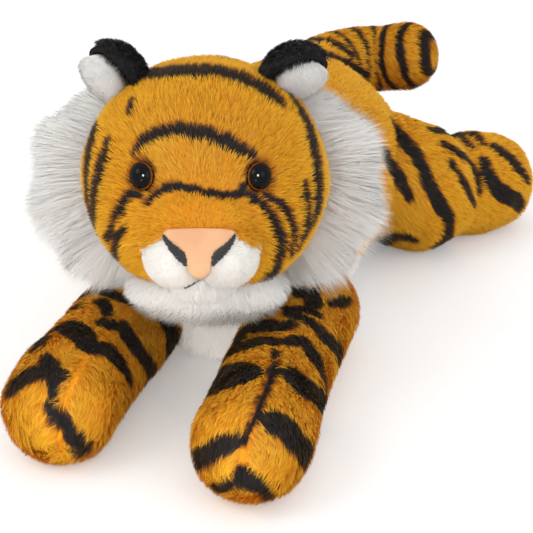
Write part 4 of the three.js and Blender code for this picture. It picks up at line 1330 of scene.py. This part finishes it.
earParts = {
    "back": {"inset": 0, "thickness": ear["back"], "bulge": None, "tone": "black", "plan": earPile,
             "material": "darkPile"},
    "lining": {"inset": ear["back"] + ear["between"], "thickness": ear["lining"], "bulge": ear["bulge"],
               "tone": "white", "plan": liningPile, "material": "whitePile"},
}
for side, label in ((1, "left"), (-1, "right")):
    turn = Matrix.Rotation(side * math.radians(ear["outDeg"][label]), 3, "Y")
    turn = np.array(turn @ Matrix.Rotation(side * math.radians(ear["turnDeg"][label]), 3, "Z"))
    place = lambda points: fromHead(points @ turn.T + np.array([side * ear["x"], ear["y"], ear["z"]]))
    middle = place(np.array([[0, 0, 0]]))[0]
    facing = place(np.array([[0, 1, 0]]))[0] - middle
    whiteWay = unit(headTurn @ np.array([side * ear["whiteOut"][label], 0, -1]))
    for part, made in earParts.items():
        (verts, faces), rings = bowl(made["inset"], made["thickness"], made["bulge"])
        verts, tone = place(verts), made["tone"]
        if part == "lining":
            verts = verts + whiteWay * ear["whiteShift"][label]
        makeCloth(f"ear_{part}_cloth_{label}", verts, faces, (rings, detail["ear"][1]), tones[tone], "head",
                  [f"ear_{label}_{part}"])

        def kept(roots, out, part=part):
            lower = unit(roots - middle) @ whiteWay
            if part == "back":
                chosen = out @ facing > np.where(lower > 0, ear["backBeside"], ear["backRest"])
            else:
                chosen = out @ facing < ear["liningFront"]
            return chosen & ~insideHead(roots, -ear["buried"])

        def groom(roots, out, part=part):
            way = roots - middle
            return way - facing * (way @ facing)[:, None] if part == "back" else out * 0 + whiteWay

        plan = {**made["plan"], "seed": earPile["seed"] + 4 * side + (part == "lining")}
        growPile(f"ear_{part}_pile_{label}", surfaceOf(verts, faces), plan, plain(tone, whiteSpread), groom, "head",
                 kept, material=made["material"])
print("ears made")

# Cheek ruffs: long white hair that fans out behind the cheeks

ruff = {"inner": 38, "outer": 72, "topDeg": 46, "bottomDeg": -72, "y": 13, "thick": 15, "tufts": 5, "notch": 4,
        "clothReach": 0.72, "pileOver": 4, "endShares": (0.06, 0.94)}
ruffPile = {"density": 10, "length": 24, "lean": 76, "width": 0.22, "perTuft": 36, "pull": 0.3, "seed": 81,
            "swirl": 0.22, "swirlSize": 22, "stray": 0.15, "steps": (0, 0.3, 0.6, 1), "toneSpread": 0.02,
            "shade": (-0.2, -0.8, 0.9), "back": (0, 0.12, 0), "lengths": (0.35, 1.5), "buried": 1.5}


def ruffRim(share):
    swell = np.sqrt(np.sin(np.pi * share))
    notch = ruff["notch"] * np.abs(np.cos(np.pi * ruff["tufts"] * share))
    return ruff["inner"] + (ruff["outer"] - ruff["inner"]) * swell - notch * swell, swell


def crescent(side):
    rings, sides = detail["ruff"]
    share = (np.arange(rings) + 1) / (rings + 1)
    angle = np.radians(ruff["bottomDeg"] + (ruff["topDeg"] - ruff["bottomDeg"]) * share)
    outer, swell = ruffRim(share)
    outer = ruff["inner"] + (outer - ruff["inner"]) * ruff["clothReach"]
    around = np.linspace(0, 2 * np.pi, sides, endpoint=False)
    across = (1 + np.cos(around)) / 2
    radius = ruff["inner"] + (outer - ruff["inner"])[:, None] * across
    depth = np.sin(around) * (ruff["thick"] / 2) * swell[:, None] * (1 - across / 2)
    rows = np.stack([side * radius * np.cos(angle)[:, None], ruff["y"] + depth, radius * np.sin(angle)[:, None]], -1)
    ends = []
    for value in (ruff["bottomDeg"], ruff["topDeg"]):
        a = math.radians(value)
        ends.append(np.array([side * ruff["inner"] * math.cos(a), ruff["y"], ruff["inner"] * math.sin(a)]))
    if side > 0:
        rows = rows[:, ::-1]
    return loft(rows, *ends)


def ruffGroom(roots, out):
    return (unit(toHead(roots) * (1, 0, 1)) + np.array(ruffPile["back"])) @ headTurn.T


def ruffLength(roots, out):
    # Up to the ruff's outline
    local = toHead(roots)
    radius = np.linalg.norm(local[:, [0, 2]], axis=1)
    degrees = np.degrees(np.arctan2(local[:, 2], np.abs(local[:, 0])))
    share = (degrees - ruff["bottomDeg"]) / (ruff["topDeg"] - ruff["bottomDeg"])
    rim = ruffRim(np.clip(share, *ruff["endShares"]))[0] + ruff["pileOver"]
    return np.clip((rim - radius) / ruffPile["length"], *ruffPile["lengths"])


ruffKept = lambda roots, out: ~insideHead(roots, -ruffPile["buried"])
for side, label in ((1, "left"), (-1, "right")):
    verts, faces = crescent(side)
    verts = fromHead(verts)
    makeCloth("ruff_cloth_" + label, verts, faces, detail["ruff"], tones["white"], "head",
              ["ruff_" + label])
    growPile("ruff_pile_" + label, surfaceOf(verts, faces), {**ruffPile, "seed": ruffPile["seed"] + side},
             plain("white", whiteSpread), ruffGroom, "head", ruffKept, material="whitePile",
             lengthAt=ruffLength)
print("ruffs made")

# Legs and tail

limbStripes = {
    "front_leg_left": [
        [(286, 268, 16), (293, 279, 15), (298.5, 289, 12), (304, 294, 14), (314, 299, 18), (309, 306, 8)],
        [(329, 303, 5), (349, 301, 8)],
        [(288, 309, 4), (306, 311, 4), (321, 316, 3)],
        [(237, 338, 6), (249, 330, 9), (264, 327, 10), (284, 327, 9), (295, 323, 5)],
        [(224, 361, 5), (241, 348, 7), (254, 344, 9), (277, 342, 5)],
        [(207, 401, 8), (212, 388, 13), (227, 379, 19), (243, 374, 17), (261, 373, 10)],
        [(189, 463, 15), (208, 452, 15), (227, 442, 15), (245, 438, 9)],
        [(212, 491, 9), (228, 481, 11), (240, 477, 11)],
        [(243, 470, 11), (254, 480, 15), (267, 489, 11), (273, 499, 6)],
        [(293, 316, 8), (310, 323, 7), (325, 338, 9), (338, 353, 10), (340, 367, 6)],
        [(284, 342, 5), (301, 342, 9), (312, 355, 9), (320, 372, 7), (323, 388, 6)],
        [(275, 372, 9), (292, 377, 17), (306, 388, 15), (320, 403, 11), (319, 418, 6)],
        [(258, 415, 12), (273, 421, 19), (288, 429, 18), (299, 444, 15), (308, 457, 13), (308, 468, 6)],
        [(276, 352, 4), (270, 378, 3), (262, 398, 3), (253, 420, 3), (246, 437, 3)],
    ],
    "front_leg_right": [
        [(101, 302, 7), (106, 308, 9), (109, 317, 6)],
        [
            (103, 324, 7), (113, 325, 9), (121, 328, 11), (129, 338, 10), (139, 352, 8), (148, 365, 6),
            (150, 381, 5)
        ],
        [
            (38, 349, 5), (50, 337, 8), (64, 329, 10), (78, 332, 14), (88, 344, 12), (106, 350, 9),
            (120, 363, 8), (129, 380, 4)
        ],
        [(12, 389, 8), (26, 377, 10), (40, 372, 14), (51, 372, 22), (60, 377, 12)],
        [(46, 357, 7), (50, 366, 16), (55, 380, 14), (53, 396, 4)],
        [(50, 404, 8), (60, 417, 12), (72, 431, 14), (80, 443, 15), (85, 450, 13)],
        [(126, 427, 4), (133, 419, 7)],
        [
            (105, 292, 8), (121, 298, 6), (137, 304, 5), (152, 310, 6), (165, 322, 9), (171, 337, 12),
            (169, 356, 10), (161, 368, 7)
        ],
    ],
    "tail": [
        [(303, 41, 4), (320, 43, 4)],
        [(328, 42, 4), (340, 49, 5), (350, 57, 4)],
        [(324, 56, 4), (345, 64, 5), (364, 74, 4)],
    ],
    "hind_leg_left": flankStripes,
}
# Black rings round the tail: place along it from its hinge, half width and lean to the side
tailRings = [(35, 1.3, 0.14), (45.5, 1.4, 0.14), (56, 1.5, 0.12), (66.5, 1.5, 0.1), (77, 1.5, 0.06), (87, 1.5, 0)]
# The sewn lines down the front legs, drawn like the stripes
seams = {
    "front_leg_left": [(294, 322, 1), (276, 352, 1), (262, 398, 1), (246, 437, 1), (242, 466, 1)],
    "front_leg_right": [(128, 310, 1), (100, 340, 1), (75, 380, 1), (60, 420, 1), (62, 452, 1)],
}
# stripeEdge widens the drawn stripes a little
limbPile = {
    "front_leg_left": {"density": 3.1, "seed": 91, "stripeEdge": 0.5},
    "front_leg_right": {"density": 3.1, "seed": 92, "stripeEdge": 0.5},
    "hind_leg_left": {"density": 2.8, "seed": 93, "stripeEdge": 0.15},
    "hind_leg_right": {"density": 2.6, "seed": 94, "stripeEdge": 0.15},
    "tail": {"density": 3.2, "seed": 95, "stripeEdge": 0.5},
}
limbShared = {"length": 5.4, "lean": 47, "width": 0.34, "perTuft": 24, "pull": 0.3, "swirlSize": 22, "stray": 0.2,
              "lumpSize": 26, "lumpSeed": 7, "down": (0, 0, -0.35), "buried": 2.5, "lowest": 1, "seamPart": 1.1,
              "seamWide": 3.5, "seamBare": 0.45, "ringSize": 16, "ringRagged": 0.6, "ringSeed": 96}
# The part of an arm's stripes that the other arm mirrors: how far out from the hinge, and no nearer the paw's end
outerArm = {"out": 12, "end": -160}


def ringed(toneAt, limb, rings):
    # Adds black rings round a limb to its tones
    places, _, ahead, side = limbLine(limb)[:4]
    along = np.append(0, np.cumsum(np.linalg.norm(np.diff(places, axis=0), axis=1)))

    def both(points):
        spot = toLine(points, places)[0]
        off = points - places[spot]
        bumps = ripples(points, limbShared["ringSize"], limbShared["ringSeed"]) * limbShared["ringRagged"]
        place = along[spot] + (off * ahead[spot]).sum(1) + bumps
        tone = toneAt(points)
        for at, wide, slant in rings:
            away = np.abs(place + (off * side[spot]).sum(1) * slant - at)
            tone = towards(tone, "black", onLine(wide, away))
        return tone

    return both


laidRows = {}
for name, limb in limbs.items():
    plan = {**limbShared, **limbPile[name]}
    verts, faces = limbForm(limb, clothSizes["limbOut"], *detail["limb"])
    verts = lumpy(verts, faces, plan["lumpSize"], limb["lumps"], plan["seed"] + plan["lumpSeed"])
    verts = rest(verts, clothSizes["limbLevel"])
    ground = surfaceOf(verts, faces)
    if name == "hind_leg_right":
        laidRows[name] = mirrored(laidRows["hind_leg_left"])
    else:
        laidRows[name] = drawnOn(ground, limbStripes[name])
    if name == "front_leg_right":
        # Its outer side, which the picture hides, follows that of the other arm
        for row in mirrored(laidRows["front_leg_left"]):
            outer = [point for point in row
                     if point[0] < limb["hinge"][0] - outerArm["out"] and point[1] > outerArm["end"]]
            if len(outer) > 1:
                laidRows[name].append(outer)
    toneAt = striped(layStripes(laidRows[name], ground), plan["seed"], plan["stripeEdge"])
    if name == "tail":
        toneAt = ringed(toneAt, limb, tailRings)
    places, _, ahead = limbLine(limb)[:3]
    corners = (detail["limb"][0] + 2 * detail["limbEnd"], detail["limb"][1])
    skin = makeCloth(name + "_cloth", verts, faces, corners, toneAt(verts), name, [name + "_skin"])
    seam = None
    if name in seams:
        seam = np.array(drawnOn(ground, [seams[name]])[0])[:, :3]

    def limbGroom(roots, out, places=places, ahead=ahead, seam=seam):
        spot = toLine(roots, places)[0]
        way = ahead[spot] + np.array(limbShared["down"])
        if seam is not None:
            near, away = toLine(roots, seam)
            part = limbShared["seamPart"] * np.exp(-(away / limbShared["seamWide"]) ** 2)
            way = way + unit(roots - seam[near]) * part[:, None]
        return way

    others = ["torso"] + (["head"] if name.startswith("front") else [])
    if name == "tail":
        others += ["hind_leg_left", "hind_leg_right"]

    def limbKept(roots, out, others=others, seam=seam):
        keep = clearOf(roots, others, -limbShared["buried"]) & (roots[:, 2] > limbShared["lowest"])
        if seam is not None:
            keep &= toLine(roots, seam)[1] > limbShared["seamBare"]
        return keep

    growPile(name + "_pile", ground, plan, toneAt, limbGroom, name, limbKept)
    verts, faces = limbForm(limb, -fillingSizes["limbIn"], *detail["limbFilling"])
    verts = rest(verts, fillingSizes["limbLevel"])
    filling = makePiece(name + "_filling", verts, faces, "stuffing", name, stands=[name + "_stuffing"])
print("legs and tail made")

# What fills the torso and the head: fibre, a pouch of beans and the washers behind the eyes

pouch = {"middle": (0, 5, 11.2), "radii": (21, 34, 7.4)}
verts, faces = barrel(torso, -torso["front"], torsoMiddle, -fillingSizes["in"], *detail["filling"])
verts = rest(cutAtNeck(verts, -1, neck["fillingCut"]), fillingSizes["level"])
filling = makePiece("torso_filling", verts, faces, "stuffing", "torso", stands=["body_stuffing"])
verts, faces = barrel(head, -head["length"] / 2, headMiddle, -fillingSizes["in"], *detail["filling"])
verts = cutAtNeck(fromHead(verts), 1, neck["fillingCut"])
filling = makePiece("head_filling", verts, faces, "stuffing", "head", stands=["head_stuffing"])
verts, faces = egg(pouch["middle"], pouch["radii"])
beans = makePiece("bean_pouch", verts, faces, "pouch", "torso", stands=["belly_bean_pouch"])
for name in ("eye_washer_left", "eye_washer_right"):
    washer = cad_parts[name]
    if not washer.material_slots:
        washer.data.materials.append(None)
    for place in washer.material_slots:
        place.material = materials["washer"]
print("fillings made")

# Floor, background and lamps

stage = {"floor": (242, 242, 242), "floorRadius": 4000, "floorSides": 96, "floorLift": 0.24, "world": 0.89,
         "background": 1.0}
lampAim = (0, -0.02, 0.05)
lamps = {
    "key": {"place": (-0.9, -0.9, 1.3), "size": 0.9, "power": 5.0, "warmth": (255, 251, 244)},
    "fill": {"place": (1.2, -0.7, 0.9), "size": 1.0, "power": 2.5, "warmth": (250, 251, 255)},
    "low": {"place": (-0.1, -1.5, 0.3), "size": 1.0, "power": 0.6, "warmth": (255, 253, 250)},
    "chest": {"place": (0.02, -0.5, 0.05), "size": 0.12, "power": 0.022, "warmth": (255, 253, 250), "spread": 26,
              "aim": (0, -0.09, 0.015)},
    "glint": {"place": (0.22, -0.72, 0.5), "size": 0.2, "power": 8.0, "warmth": (255, 255, 255), "glossOnly": True},
}


def makeFloor():
    count, radius = stage["floorSides"], stage["floorRadius"]
    angle = np.linspace(0, 2 * np.pi, count, endpoint=False)
    verts = np.stack([radius * np.cos(angle), radius * np.sin(angle), np.zeros(count)], 1)
    mesh = bpy.data.meshes.new("floor")
    mesh.from_pydata((verts * millimetre).tolist(), [], [tuple(range(count))])
    floor = bpy.data.objects.new("floor", mesh)
    bpy.context.scene.collection.objects.link(floor)
    material, tree, shader = newMaterial("paleFloor", Roughness=0.85, Specular_IOR_Level=0.1)
    shader.inputs["Base Color"].default_value = linear(*stage["floor"])
    shader.inputs["Emission Color"].default_value = (1, 1, 1, 1)
    rays = addNode(tree, "ShaderNodeLightPath", (-700, -200))
    seen = addNode(tree, "ShaderNodeMath", (-400, -200), {1: stage["floorLift"]}, operation="MULTIPLY")
    link(tree, (rays, "Is Camera Ray", seen, 0), (seen, "Value", shader, "Emission Strength"))
    mesh.materials.append(material)


def makeWorld():
    world = bpy.data.worlds.new("studio")
    bpy.context.scene.world = world
    world.use_nodes = True
    tree = world.node_tree
    back = tree.nodes["Background"]
    back.inputs["Color"].default_value = (1, 1, 1, 1)
    rays = addNode(tree, "ShaderNodeLightPath", (-900, 0))
    either = addNode(tree, "ShaderNodeMath", (-700, 0), operation="MAXIMUM")
    seen = addNode(tree, "ShaderNodeMath", (-500, 0), operation="MAXIMUM")
    level = addNode(tree, "ShaderNodeMapRange", (-300, 0), {"To Min": stage["world"], "To Max": stage["background"]})
    link(tree, (rays, "Is Camera Ray", either, 0), (rays, "Is Glossy Ray", either, 1), (either, "Value", seen, 0),
         (rays, "Is Transmission Ray", seen, 1), (seen, "Value", level, "Value"), (level, "Result", back, "Strength"))


def makeLamps():
    for name, lamp in lamps.items():
        data = bpy.data.lights.new(name, "AREA")
        data.shape = "DISK"
        data.size = lamp["size"]
        data.energy = lamp["power"]
        data.color = linear(*lamp["warmth"])[:3]
        light = bpy.data.objects.new(name, data)
        data.spread = math.radians(lamp.get("spread", 180))
        light.visible_diffuse = not lamp.get("glossOnly", False)
        light.location = lamp["place"]
        way = Vector(lamp["place"]) - Vector(lamp.get("aim", lampAim))
        light.rotation_euler = way.to_track_quat("Z", "Y").to_euler()
        bpy.context.scene.collection.objects.link(light)


makeFloor()
makeWorld()
makeLamps()
print("stage and lamps ready")
